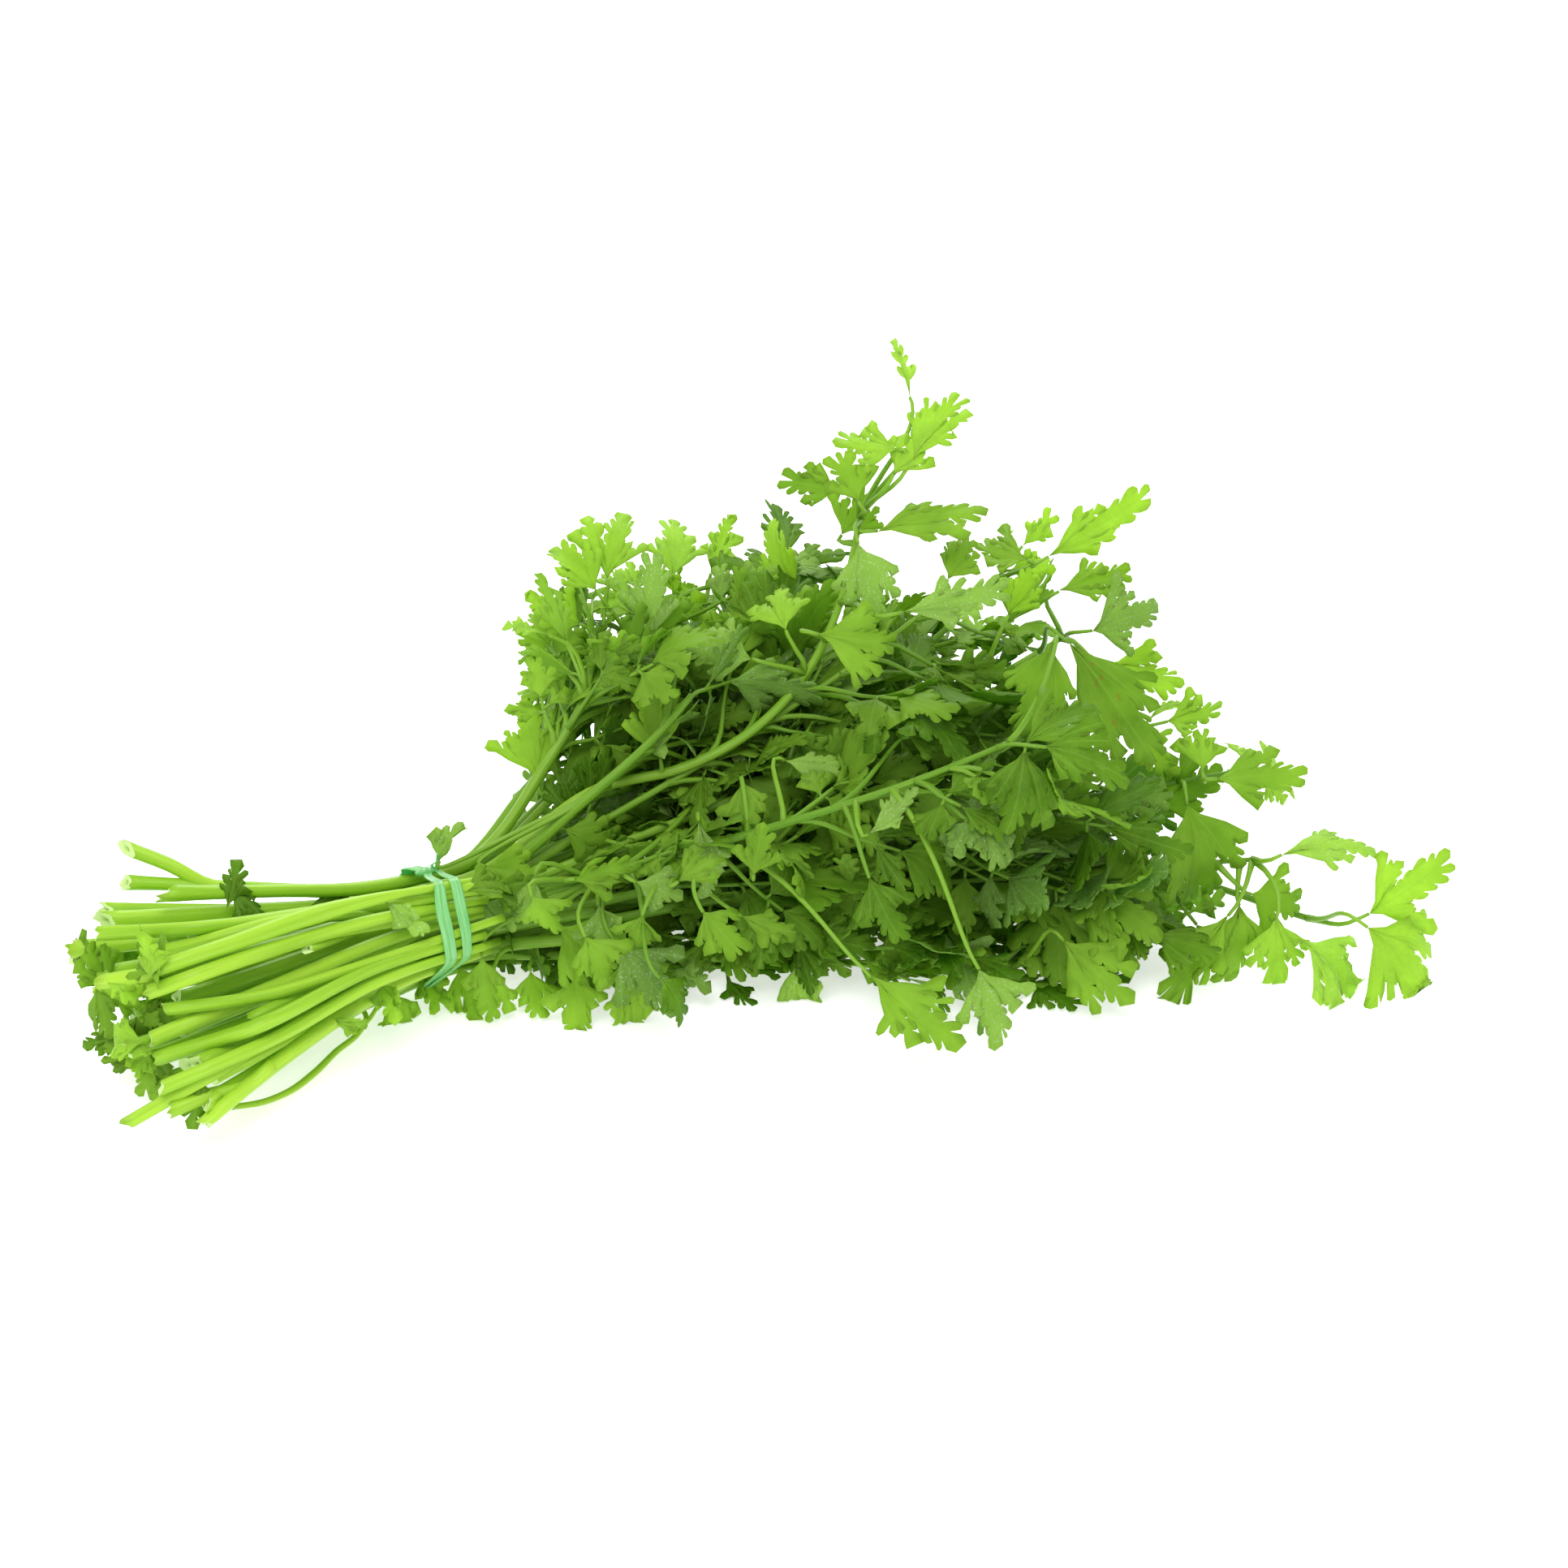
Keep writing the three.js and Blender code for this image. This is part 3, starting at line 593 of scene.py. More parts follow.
def add_tube(shape, route, radii, sides, tint=0.5, age=0.5, ribs=0.0, cut=None):
    """A closed tube along a route. A random generator as cut gives its start a hollow cut end.

    Its marks say where round it and how far along it a point is, and how far into the cut end it lies, which
    sets the painted shade in the hollow.
    """
    along, across, other = frames_along(route)
    turns = 2 * math.pi * np.arange(sides) / sides
    circle = np.cos(turns)[None, :, None] * across[:, None] + np.sin(turns)[None, :, None] * other[:, None]
    uneven = 1 + ribs * (np.cos(sides / 2 * turns) + 0.7 * np.cos(3 * turns + 9 * tint))
    wide = np.asarray(radii)[:, None] * uneven
    points, lengths = route[:, None] + wide[..., None] * circle, lengths_along(route)
    ages = np.broadcast_to(np.asarray(age, float), (len(route),))
    depth = np.zeros(len(route))
    if cut is not None:
        slope = math.tan(math.radians(cut.uniform(*CUT_SLANTS)))
        slant = slope * np.cos(turns + cut.uniform(0, 6.3)) * radii[0]
        ragged = slant + cut.normal(0, 0.5, sides)
        points[0] += ragged[:, None] * along[0]
        ends = [
            route[0] + wide[0][:, None] * share * circle[0] + (back + share * ragged)[:, None] * along[0]
            for back, share, _ in CUT_RINGS
        ]
        points = np.concatenate([ends, points])
        lengths = np.concatenate([np.zeros(len(ends)), lengths])
        ages = np.concatenate([np.full(len(ends), ages[0]), ages])
        depth = np.concatenate([[ring[2] for ring in CUT_RINGS], depth])
    last = (len(points) - 1) * sides
    down = lengths[:, None] / 40 + 7 * tint
    skin = np.stack(np.broadcast_arrays(np.cos(turns), np.sin(turns), down), axis=-1)
    shape.add(
        points.reshape(-1, 3),
        ring_faces(len(points), sides),
        flat=[tuple(range(sides))[::-1], tuple(range(last, last + sides))],
        skin=skin.reshape(-1, 3),
        tint=tint,
        age=np.repeat(ages, sides),
        cut=np.repeat(depth, sides),
    )


def sheet_faces(rows, columns, tips=0):
    """One side of a sheet on a grid, and the points round it. A tooth of its last row has tips points."""
    quads = [
        (t * columns + k, (t + 1) * columns + k, (t + 1) * columns + k + 1, t * columns + k + 1)
        for t in range(rows - 1)
        for k in range(columns - 1)
    ]
    last, first_tip = (rows - 1) * columns, rows * columns
    teeth = [(last + k, *range(first_tip + k * tips, first_tip + (k + 1) * tips)) for k in range(columns - 1)]
    loop = [i for tooth in teeth for i in tooth]
    loop += [t * columns + columns - 1 for t in range(rows - 1, -1, -1)]
    loop += list(range(columns - 2, -1, -1))
    loop += [t * columns for t in range(1, rows - 1)]
    if tips:
        quads += [(*tooth, tooth[0] + 1) for tooth in teeth]
    return quads, loop


SHEETS = {}


def add_shell(shape, kind, middle, outward, half, **marks):
    """A thin closed sheet round its middle points, half a thickness to each side, kept above the floor."""
    if kind not in SHEETS:
        SHEETS[kind] = sheet_faces(*kind)
    side, loop = SHEETS[kind]
    count = len(middle)
    both = lifted(np.concatenate([middle + half * outward, middle - half * outward]), 0.02)
    faces = [*side, *(tuple(count + i for i in reversed(face)) for face in side)]
    rim = [(a, count + a, count + b, b) for a, b in zip(loop, loop[1:] + loop[:1])]
    double = {}
    for name, value in marks.items():
        value = np.asarray(value, float)
        double[name] = np.concatenate([value, value]) if value.ndim and len(value) == count else value
    shape.add(both, faces, flat=rim, under=np.repeat([0.0, 1.0], count), **double)


def outward_of(grid):
    """The direction across a grid of points, at each of them."""
    return unit(np.cross(np.gradient(grid, axis=0), np.gradient(grid, axis=1)))


# ---------------------------------------------------------------- leaflets


def lobed_edge(rng, look):
    """A leaflet's edge without teeth: angles from the midrib, lengths, lobe angles, gaps, share of teeth."""
    angle = np.linspace(-EDGE_SPAN, EDGE_SPAN, 321)
    length = 1 - look["fall"] * (np.abs(angle) / EDGE_SPAN) ** 2.2
    lobe, gaps, toothed = np.zeros_like(angle), [], np.ones_like(angle)
    for side in (-1, 1):
        for place, (gap, deep, wide) in enumerate(GAPS):
            gap = side * (gap + rng.uniform(-5, 5))
            depth = np.clip(deep * (0.45 + 0.75 * look["cut"]) * rng.uniform(0.7, 1.2), 0, 0.66)
            away = np.abs(angle - gap) / (wide * rng.uniform(0.8, 1.3))
            length = length * (1 - depth * np.exp(-(away**1.6)))
            toothed = toothed * (1 - 0.85 * np.exp(-((away / 0.8) ** 2)))
            length = length * (1 - rng.uniform(-0.04, 0.13) * ease(0, 6, side * angle - abs(gap)))
            lobe = np.where(side * angle > abs(gap), side * LOBE_ANGLES[place], lobe)
            gaps.append(gap)
    return angle, length, lobe, gaps, toothed


def leaflet_edge(rng, look, size):
    """The notches and teeth of a leaflet of length 1, from one side of its base round to the other.

    Returns the points between teeth, the points of the teeth, and the angle of the lobe each belongs to.
    """
    angle, length, lobe, gaps, toothed = lobed_edge(rng, look)
    turn = np.radians(angle * look["open"])
    edge = np.stack([length * np.cos(turn), length * np.sin(turn)], axis=1)
    slope = unit(np.gradient(edge, axis=0))
    outward = unit(np.stack([slope[:, 1], -slope[:, 0]], axis=1) + 0.6 * unit(edge + 1e-9))
    along = lengths_along(edge)
    count = int(np.clip(along[-1] * size / TOOTH_WIDTH, *TOOTH_COUNTS))
    notches = np.arange(count + 1) * 1.0
    notches[1:-1] += rng.uniform(-0.28, 0.28, count - 1)
    notches *= along[-1] / count
    for gap in gaps:
        bottom = np.interp(gap, angle, along)
        notches[1 + int(np.abs(notches[1:-1] - bottom).argmin())] = bottom
    notches = np.sort(notches)
    wide = np.diff(notches)
    tall = look["tooth"] * rng.uniform(0.7, 1.3, count) * np.minimum(wide, WIDEST_TOOTH / size)
    tall = tall * np.interp((notches[:-1] + notches[1:]) / 2, along, toothed)
    tips = notches[:-1, None] + wide[:, None] * TOOTH_SHAPE[:, 0]

    def at(values, where):
        return np.stack([np.interp(where, along, values[:, k]) for k in (0, 1)], axis=-1)

    def lobe_at(where):
        return lobe[np.abs(along - where.reshape(-1, 1)).argmin(axis=1)] * look["open"]

    teeth = at(edge, tips) + at(outward, tips) * (tall[:, None] * TOOTH_SHAPE[:, 1])[..., None]
    deeper = 0.2 * rng.uniform(0, 1, (len(notches), 1)) ** 2 * np.interp(notches, along, toothed)[:, None]
    deeper[[0, -1]] = 0
    return at(edge, notches) * (1 - deeper), teeth.reshape(-1, 2), lobe_at(notches), lobe_at(tips)


def arc_bend(points, axis, degrees, length):
    """Bends flat points round, up for a positive angle, by that many degrees over a length along one axis."""
    if abs(degrees) < 0.1:
        return points
    rate = math.radians(degrees) / length
    bent = points.copy()
    place, height = points[..., axis], points[..., 2]
    bent[..., axis] = (1 / rate - height) * np.sin(place * rate)
    bent[..., 2] = 1 / rate - (1 / rate - height) * np.cos(place * rate)
    return bent


def leaflet_surface(rng, length, look):
    """The middle surface of a leaflet with its base at the origin, along +X and facing +Z, and its marks."""
    notches, teeth, notch_lobes, tooth_lobes = leaflet_edge(rng, look, length)
    t = np.concatenate([np.repeat(RINGS, len(notches)), np.ones(len(teeth))])
    x, y = length * np.concatenate([(RINGS[:, None, None] * notches).reshape(-1, 2), teeth]).T
    y = y * (0.3 + 0.7 * ease(0, 0.75, t))
    away = np.arctan2(y, x)
    turn = np.radians(np.concatenate([np.tile(notch_lobes, len(RINGS)), tooth_lobes]))
    along_lobe, off_lobe = x * np.cos(turn) + y * np.sin(turn), y * np.cos(turn) - x * np.sin(turn)
    z = look["fold"] * (np.sqrt(y * y + 1.5) + 0.3 * np.sqrt(off_lobe**2 + 0.5) * ease(0.3, 0.9, t))
    wave = np.sin(2.3 * away + look["phase"]) + 0.6 * np.sin(6.5 * away + 2 * look["phase"])
    z = z + look["wave"] * length * wave * t**2.2
    surface = np.stack([x, y, z], axis=-1)
    surface = arc_bend(surface, 1, look["cup"], length)
    surface = arc_bend(surface, 0, look["curl"], length)
    flat = np.zeros_like(x)
    return surface, len(notches), t, {
        "lobe": np.stack([along_lobe, off_lobe, flat], axis=-1),
        "sheet": np.stack([x, y, flat], axis=-1) + rng.uniform(0, 900, 3),
    }


def add_leaflet(shape, rng, base, along, normal, length, look, tint, wet=0.0, old=0.0):
    """Adds one leaflet as a thin closed shell."""
    surface, columns, t, marks = leaflet_surface(rng, length, look)
    across = np.cross(normal, along)
    turn = math.radians(look["twist"]) * (surface[:, :1] / length)
    side = across * np.cos(turn) + normal * np.sin(turn)
    up = normal * np.cos(turn) - across * np.sin(turn)
    placed = base + surface[:, :1] * along + surface[:, 1:2] * side + surface[:, 2:] * up
    if placed[:, 2].min() < 0.2:
        placed[:, 2] = np.where(placed[:, 2] < 4, 0.25 + 0.35 * np.abs(placed[:, 2] - 0.25), placed[:, 2])
    tips = len(TOOTH_SHAPE)
    ways = outward_of(placed[: len(RINGS) * columns].reshape(len(RINGS), columns, 3))
    tooth_ways = np.repeat(unit(ways[-1, 1:] + ways[-1, :-1]), tips, axis=0)
    half = np.interp(t, (0, 1), LEAFLET_THICKNESS)[:, None] / 2
    outward = np.concatenate([ways.reshape(-1, 3), tooth_ways])
    add_shell(shape, (len(RINGS), columns, tips), placed, outward, half, tint=tint, wet=wet, old=old, **marks)


def leaflet_look(rng, form, low):
    """How one leaflet is cut, opened, folded and curled. One that lies low is kept nearly flat."""
    calm = 0.35 if low else 1.0
    shape = FORMS[form]
    return {
        "cut": rng.uniform(*shape["cut"]),
        "open": rng.uniform(*shape["open"]),
        "fall": rng.uniform(*shape["fall"]),
        "tooth": rng.uniform(0.85, 1.2),  # how far a tooth stands out, as a share of its width
        "fold": rng.uniform(-0.2, 0.45) * calm,
        "phase": rng.uniform(0, 6.28),
        "wave": rng.uniform(0.012, 0.045) * calm,
        "cup": rng.uniform(-80, 60) * calm,
        "curl": rng.uniform(-75, 30) * calm,
        "twist": rng.uniform(-32, 32) * calm,
    }


def leafstalk_route(blade, source, source_way, tip):
    """A leafstalk's route from its sprig through a leaf's base to the tip, bowed where it has room."""
    base, along = blade["base"], blade["along"]
    span, to_base = np.linalg.norm(base - source), unit(base - source)
    lead = source + unit(max(np.dot(source_way, to_base), 0.05) * source_way + 0.6 * to_base) * span * 0.4
    turn_back = min(0.4 * span, 9) * (0.65 + 0.35 * np.dot(along, to_base))
    return lifted(np.concatenate([bowed(source, lead, base - along * turn_back, base), [tip]]), 0.95)


def add_side_leaflet(leaves, stems, rng, blade, side):
    """One of the two side leaflets of a leaf of three, on its own short stalk."""
    along, normal, reach, tint = (blade[name] for name in ("along", "normal", "reach", "tint"))
    low = blade["base"][2] < LOW_LEAF
    calm = 0.2 if low else 1
    start = blade["base"] + along * (SIDE_LEAFLETS_AT + rng.uniform(-0.03, 0.05)) * reach
    way = turned(along, normal, side * (SIDE_ANGLE + rng.uniform(-16, 14)))
    tilt = math.radians(rng.uniform(-28, 22) * calm)
    way = unit(way * math.cos(tilt) + normal * math.sin(tilt))
    up = turned(square_to(normal, way), way, rng.uniform(-28, 28) * calm)
    stalk = 0.06 * reach * rng.uniform(0.5, 1.6)
    foot = np.array([start, start + way * stalk * 0.6 + along * 0.2, start + way * (stalk + 0.8)])
    add_tube(stems, lifted(foot, 0.6), SIDE_STALK_RADII, 6, tint=tint, age=0.8)
    size = reach * LEAFLET_SHARE["side"] * rng.uniform(0.8, 1.1) * blade["whole"]
    look = leaflet_look(rng, rng.choice(USUAL_FORMS), low)
    own_tint = float(np.clip(tint + rng.uniform(-0.12, 0.12), 0, 1))
    add_leaflet(leaves, rng, start + way * stalk, way, up, size, look, own_tint, blade["wet"], blade["old"])


def add_leaf(leaves, stems, rng, blade, source, source_way):
    """A leafstalk from the sprig to a leaf's base, and the leaf: one leaflet for a posed leaf, else three."""
    base, along, normal, reach = (blade[name] for name in ("base", "along", "normal", "reach"))
    kind = "three" if blade["form"] == "three" else "single"
    tip = base + along * RACHIS_SHARE[kind] * reach + normal * (0.06 * reach * rng.uniform(-1, 1))
    route = leafstalk_route(blade, source, source_way, tip)
    radii = np.linspace(*PETIOLE_RADIUS, len(route))
    radii[0] *= 1.3
    add_tube(stems, route, radii, 7, tint=blade["tint"], age=0.75)
    size = reach * LEAFLET_SHARE[kind] * rng.uniform(0.95, 1.08) * blade["whole"]
    form = rng.choice(USUAL_FORMS) if kind == "three" else blade["form"]
    look = leaflet_look(rng, form, base[2] < LOW_LEAF)
    way = unit(along + 0.1 * rng.normal(size=3))
    add_leaflet(leaves, rng, tip, way, normal, size, look, blade["tint"], blade["wet"], blade["old"])
    for side in (-1, 1) if kind == "three" else ():
        add_side_leaflet(leaves, stems, rng, blade, side)


# ---------------------------------------------------------------- stalks and sprigs


def add_stalk(shape, rng, points, radii, tint):
    """One whole stalk, with its cut end and the swellings of its nodes."""
    route, places = smooth_route(points, STALK_STEP)
    wide = np.interp(places, np.arange(len(points)), radii)
    lengths = lengths_along(route)
    swell = 0.05 * np.sin(lengths / 17 + tint * 20) + 0.1 * np.exp(-((lengths / 5) ** 2))
    x = route[:, 0] - TIE[0]
    thinner_cut_side = rng.uniform(0.14, 0.34) * ease(-14, -46, x)
    thinner_leaf_side = rng.uniform(0, 0.36) * ease(6, 24, x)
    wide = wide * (1 + swell) * (1 - thinner_cut_side) * (1 - thinner_leaf_side)
    add_tube(shape, route, wide, STALK_ROUND, tint=tint, age=places / places[-1], ribs=RIB_DEPTH, cut=rng)
    return route


def bowed_aside(upper, far):
    """A sprig's upper points, moved aside in the picture, most of all in its middle."""
    way = unit(upper[-1] - upper[0])
    aside = RIGHTWARD * np.dot(way, UPWARD) - UPWARD * np.dot(way, RIGHTWARD)
    bow = np.sin(np.linspace(0, math.pi, len(upper)) ** 0.9 * math.pi**0.1)
    return upper + far * bow[:, None] * aside


def sprig_route(number):
    """A stalk's points and radii from its cut end to its tip, its points past the fork, and its blades."""
    lower, lower_radii = stalk_chain(f"stalk_{number:02d}")
    upper, upper_radii, blades = spray_plan(f"leaf_spray_{number:02d}")
    if number in BOWED:
        upper = bowed_aside(upper, BOWED[number])
    points = np.concatenate([lower[:-1], upper])
    return points, np.concatenate([lower_radii[:-1], upper_radii]), upper, blades


def samples_of(blade):
    """Points spread over a leaf, for measuring how far it is from others."""
    across = np.cross(blade["normal"], blade["along"])
    return laid_out(LEAF_SHARES, blade["base"], blade["along"], across, blade["reach"])


def gap_between(samples, others, when_alone):
    """The smallest gap between a leaf's sample points and others."""
    if not len(others):
        return when_alone
    return math.sqrt(((samples[:, None] - others[None]) ** 2).sum(axis=2).min())


def near_to(taken, base):
    """The points of those taken that are near enough to a leaf's base to matter."""
    return taken[np.abs(taken - base).max(axis=1) < 60]


def inside_outline(points):
    """Whether points keep within the bunch's outline: its near, far and top edges past the tie."""
    x, y, z = (points - TIE).T
    grown = np.maximum(x, 0)
    low = np.clip(points[:, 2], 0, 17) / 17
    near, far = y > -18 - (0.46 + 0.2 * low) * grown, y < 38 + 0.62 * grown
    top = z < 48 + 0.62 * x - 0.004 * x * x - 0.2 * np.abs(y)
    right_of, above, nearer = in_picture(points).T
    clear_stalks = (right_of > 36) | (above < 3 + 0.1 * right_of) | (nearer < -6)
    return bool(np.all(near & far & top & clear_stalks & (x > 6) & (x < 172) & (points[:, 2] > 0.4)))


def usual_reach(rng):
    return rng.choice(REACHES) * rng.uniform(0.9, 1.1)


def upper_side(rng, way, spread, least_up):
    """A direction for a leaf's upper side, square to its way and more or less up."""
    return square_to(unit(np.array([*rng.uniform(-spread, spread, 2), rng.uniform(least_up, 1.0)])), way)


def beside_sprig(rng, route, k):
    """A way of setting a leaf beside a sprig at its point k: the leaf's base, direction and reach."""
    tangent = way_at(route, k)
    outward = turned(unit(np.cross(tangent, UP)), tangent, rng.uniform(0, 360))
    angle = math.radians(rng.uniform(30, 62))
    way = tangent * math.cos(angle) + outward * math.sin(angle)
    base = route[k] + way * rng.uniform(6, 26)
    if base[2] < 7:
        base = base * (1, 1, 0) + UP * rng.uniform(1.5, 4)
        way = unit(way * (1, 1, 0.15))
    return base, way, usual_reach(rng)


def along_near_edge(rng, route, k):
    """A way of setting a leaf from a sprig low along the near edge of the bunch."""
    out = math.radians(rng.uniform(-100, -15))
    way = unit(np.array([math.cos(out), math.sin(out), rng.uniform(-0.1, 0.35)]))
    base = route[k] + way * rng.uniform(4, 22)
    base[2] = rng.uniform(1.5, 16)
    return base, way, usual_reach(rng)


def beside_tie(rng, route, k):
    """A way of setting a small leaf in front of a stalk near the tie."""
    way = pointing(rng.uniform(-150, 40), 0.4)
    return route[k] + way * rng.uniform(3, 10), way, rng.uniform(11, 22)


def planned_blade(base, along, normal, reach, route, k):
    """A leaf whose stalk leaves a sprig's route at its point k."""
    source = {"from": route[k], "way": way_at(route, k)}
    return {"base": base, "along": along, "normal": normal, "reach": reach, **source}


def added_blade(rng, route, taken, ways):
    """A further leaf along a sprig: of many ways to set one, the way that keeps furthest from others."""
    best = (MIN_GAP, None)
    for _ in range(TRIES):
        k = int(rng.integers(1, len(route) - 1))
        base, way, reach = ways(rng, route, k)
        blade = planned_blade(base, way, upper_side(rng, way, 0.75, 0.3), reach, route, k)
        samples = samples_of(blade)
        if inside_outline(samples):
            gap = gap_between(samples, near_to(taken, base), 99)
            best = max(best, (gap, blade), key=lambda one: one[0])
    return best[1]


def end_blade(rng, route, taken):
    """A leaf at a sprig's tip: of many ways to set it, the way that keeps furthest from others."""
    best = (-1, None)
    for _ in range(TRIES):
        way = unit(way_at(route, len(route) - 2) + 0.7 * rng.normal(size=3) * (1, 1, 0.6))
        if route[-1][2] < 8:
            way = unit(way * (1, 1, 0) + UP * 0.12)
        normal, base = upper_side(rng, way, 0.6, 0.4), route[-1] + way * 2
        blade = planned_blade(base, way, normal, rng.uniform(28, 34), route, len(route) - 2)
        samples, others = samples_of(blade), near_to(taken, base)
        others = others[np.linalg.norm(others - route[-1], axis=1) > 8]
        gap = gap_between(samples, others, 50) - 8 * (samples[:, 2].min() < 0.5)
        best = max(best, (gap, blade), key=lambda one: one[0])
    return best[1]


class Foliage:
    """The sprigs' routes and the leaves that are set on them so far, with points on all of these."""

    def __init__(self, plans):
        self.routes = {number: smooth_route(plan[0], STALK_STEP)[0] for number, plan in plans.items()}
        self.blades = {number: plan[3] for number, plan in plans.items()}
        self.taken = np.concatenate([*(route[::2] for route in self.routes.values()), self.leaf_points()])

    def every_blade(self):
        return [blade for own in self.blades.values() for blade in own]

    def leaf_points(self):
        return np.concatenate([samples_of(blade) for blade in self.every_blade()])

    def add(self, number, blade):
        """Sets a further leaf on a sprig, if one was found."""
        if blade:
            self.blades[number].append(blade)
            self.taken = np.concatenate([self.taken, samples_of(blade)])


def base_in_front(foliage, blade, place, nearer):
    """Where a leaf lies that is seen at a place: in front of the nearest stalk, and of all that it covers.

    One that is set behind that stalk stays there, and none comes too far forward or under the floor.
    """
    shape = in_picture(samples_of({**blade, "base": seen(*place, 0)}))
    others = in_picture(foliage.taken)
    covered = (far_off(shape[:, None], others[None, :, :2]) < COVER["near"]).any(axis=0)
    stems = np.concatenate([in_picture(route)[LEAFY_FROM:] for route in foliage.routes.values()])
    stem = stems[far_off(stems, place).argmin()][2]
    depth = stem + nearer
    if covered.any() and nearer > 0:
        depth = max(depth, np.percentile(others[covered][:, 2], 98) + COVER["gap"])
    free = place[0] > FREE_FROM[0] or place[1] > FREE_FROM[1]
    base = seen(*place, min(depth, stem + COVER["most_free" if free else "most"]))
    lowest = samples_of({**blade, "base": base})[:, 2].min()
    if lowest < LOWEST:
        base = base - AHEAD * (LOWEST - lowest) / abs(AHEAD[2])
    return base


def pose_blade(foliage, rng, leaf):
    """Sets one of the leaves that stand out. It takes the place of a leaf of the part, if one is close by."""
    *place, heading, reach, form, look, nearer = leaf
    along = pointing(heading, rng.uniform(-0.1, 0.35))
    blade = {"along": along, "normal": facing_camera(rng, along, 0.35, 0.35), "reach": reach, "form": form}
    blade = {**blade, **LOOKS[look], "posed": True}
    blade["base"] = base_in_front(foliage, blade, place, nearer)
    away, owner, k = min(
        (far_off(in_picture(one["base"]), place), number, k)
        for number, own in foliage.blades.items()
        for k, one in enumerate(own)
        if "posed" not in one
    )
    if away < 24:
        foliage.blades[owner].pop(k)
    routes = foliage.routes
    nearest = min(routes, key=lambda n: np.linalg.norm(routes[n][LEAFY_FROM:] - blade["base"], axis=1).min())
    foliage.add(nearest, blade)


def keep_in_sight(route, blades):
    """Moves the leaves that hide a stalk to behind it, as seen in the picture."""
    stem = in_picture(route)
    for blade in blades:
        samples = samples_of(blade)
        leaf = in_picture(samples)
        close = far_off(leaf[:, None], stem[None, :, :2]) < 7
        over = np.where(close, leaf[:, None, 2] - stem[None, :, 2] + 4, 0).max()
        deepest = (samples[:, 2].min() - LOWEST) / -AHEAD[2]
        if "posed" not in blade and 0 < over < 60 and deepest > 0:
            blade["base"] = blade["base"] + AHEAD * min(over, deepest)


def settle_looks(foliage):
    """Gives each leaf its looks. A leaf with few others near it in the picture, or in a sunny corner, gets
    painted light as if lit through; a crowded one gets painted shade.
    """
    rng = np.random.default_rng([SEED, 300])
    points = in_picture(foliage.leaf_points())
    for blade in foliage.every_blade():
        right_of, above, _ = in_picture(blade["base"] + blade["along"] * blade["reach"] * 0.6)
        crowd = (far_off(points, (right_of, above)) < CROWD["reach"]).sum()
        sunny = max((1 - ease(a, b, right_of)) * ease(c, d, above) for a, b, c, d in SUNNY)
        free = max(1 - ease(CROWD["few"], CROWD["many"], crowd), 0.9 * sunny)
        # tint: painted light where a leaf stands free or sunny, painted shade where it is crowded, and a
        # random tone
        blade.setdefault("tint", float(np.clip(0.75 * free + rng.uniform(0, 0.5), 0, 1)))
        # a painted wet sheen on about one leaf in ten
        blade.setdefault("wet", 0.7 * float(rng.uniform() < 0.1))
        blade.setdefault("old", 0.0)
        blade.setdefault("form", "three")
        blade.setdefault("whole", 1.0 if "posed" in blade else rng.uniform(0.72, 1.0) * (1 - 0.3 * free))


def cover_ends(foliage, rng):
    """Gives each sprig a leaf at its tip, unless it has one."""
    for number, route in foliage.routes.items():
        if not any(np.linalg.norm(blade["base"] - route[-1]) < 14 for blade in foliage.blades[number]):
            foliage.add(number, end_blade(rng, route, foliage.taken))


def fill_gaps(foliage, rng, forks):
    """Adds leaves in rounds, one to each sprig with room, past its fork or, on a low one, just before it."""
    for _ in range(ROUNDS):
        for number, route in foliage.routes.items():
            fork = int(np.linalg.norm(route - forks[number], axis=1).argmin())
            low = route[fork][2] < 17
            ways = along_near_edge if low else beside_sprig
            foliage.add(number, added_blade(rng, route[max(fork - 8 * low, 0) :], foliage.taken, ways))


def fill_by_tie(foliage, rng):
    """Adds small leaves where stalks leave the tie near the camera."""
    for number, route in foliage.routes.items():
        right_of, above, nearer = in_picture(route).T
        start = route[(right_of > 2) & (right_of < 84) & (above < 22)]
        if len(start) > 6 and nearer[right_of > 10][0] > -9:
            for _ in range(TIE_LEAVES):
                foliage.add(number, added_blade(rng, start, foliage.taken, beside_tie))


def grow_sprigs():
    """Plans and makes every sprig: first its own leaves and those that stand out, then more in the gaps."""
    plans = {number: sprig_route(number) for number in range(1, SPRIGS + 1)}
    foliage = Foliage(plans)
    rng = np.random.default_rng(SEED)
    for leaf in STANDOUT_LEAVES:
        pose_blade(foliage, rng, leaf)
    cover_ends(foliage, rng)
    fill_gaps(foliage, rng, {number: upper[0] for number, (_, _, upper, _) in plans.items()})
    fill_by_tie(foliage, rng)
    for number, (low, high) in IN_SIGHT.items():
        right_of = in_picture(foliage.routes[number])[:, 0]
        keep_in_sight(foliage.routes[number][(right_of > low) & (right_of < high)], foliage.every_blade())
    settle_looks(foliage)
    shapes = [make_sprig(number, *plan) for number, plan in plans.items()]
    return shapes, [plan[:2] for plan in plans.values()]


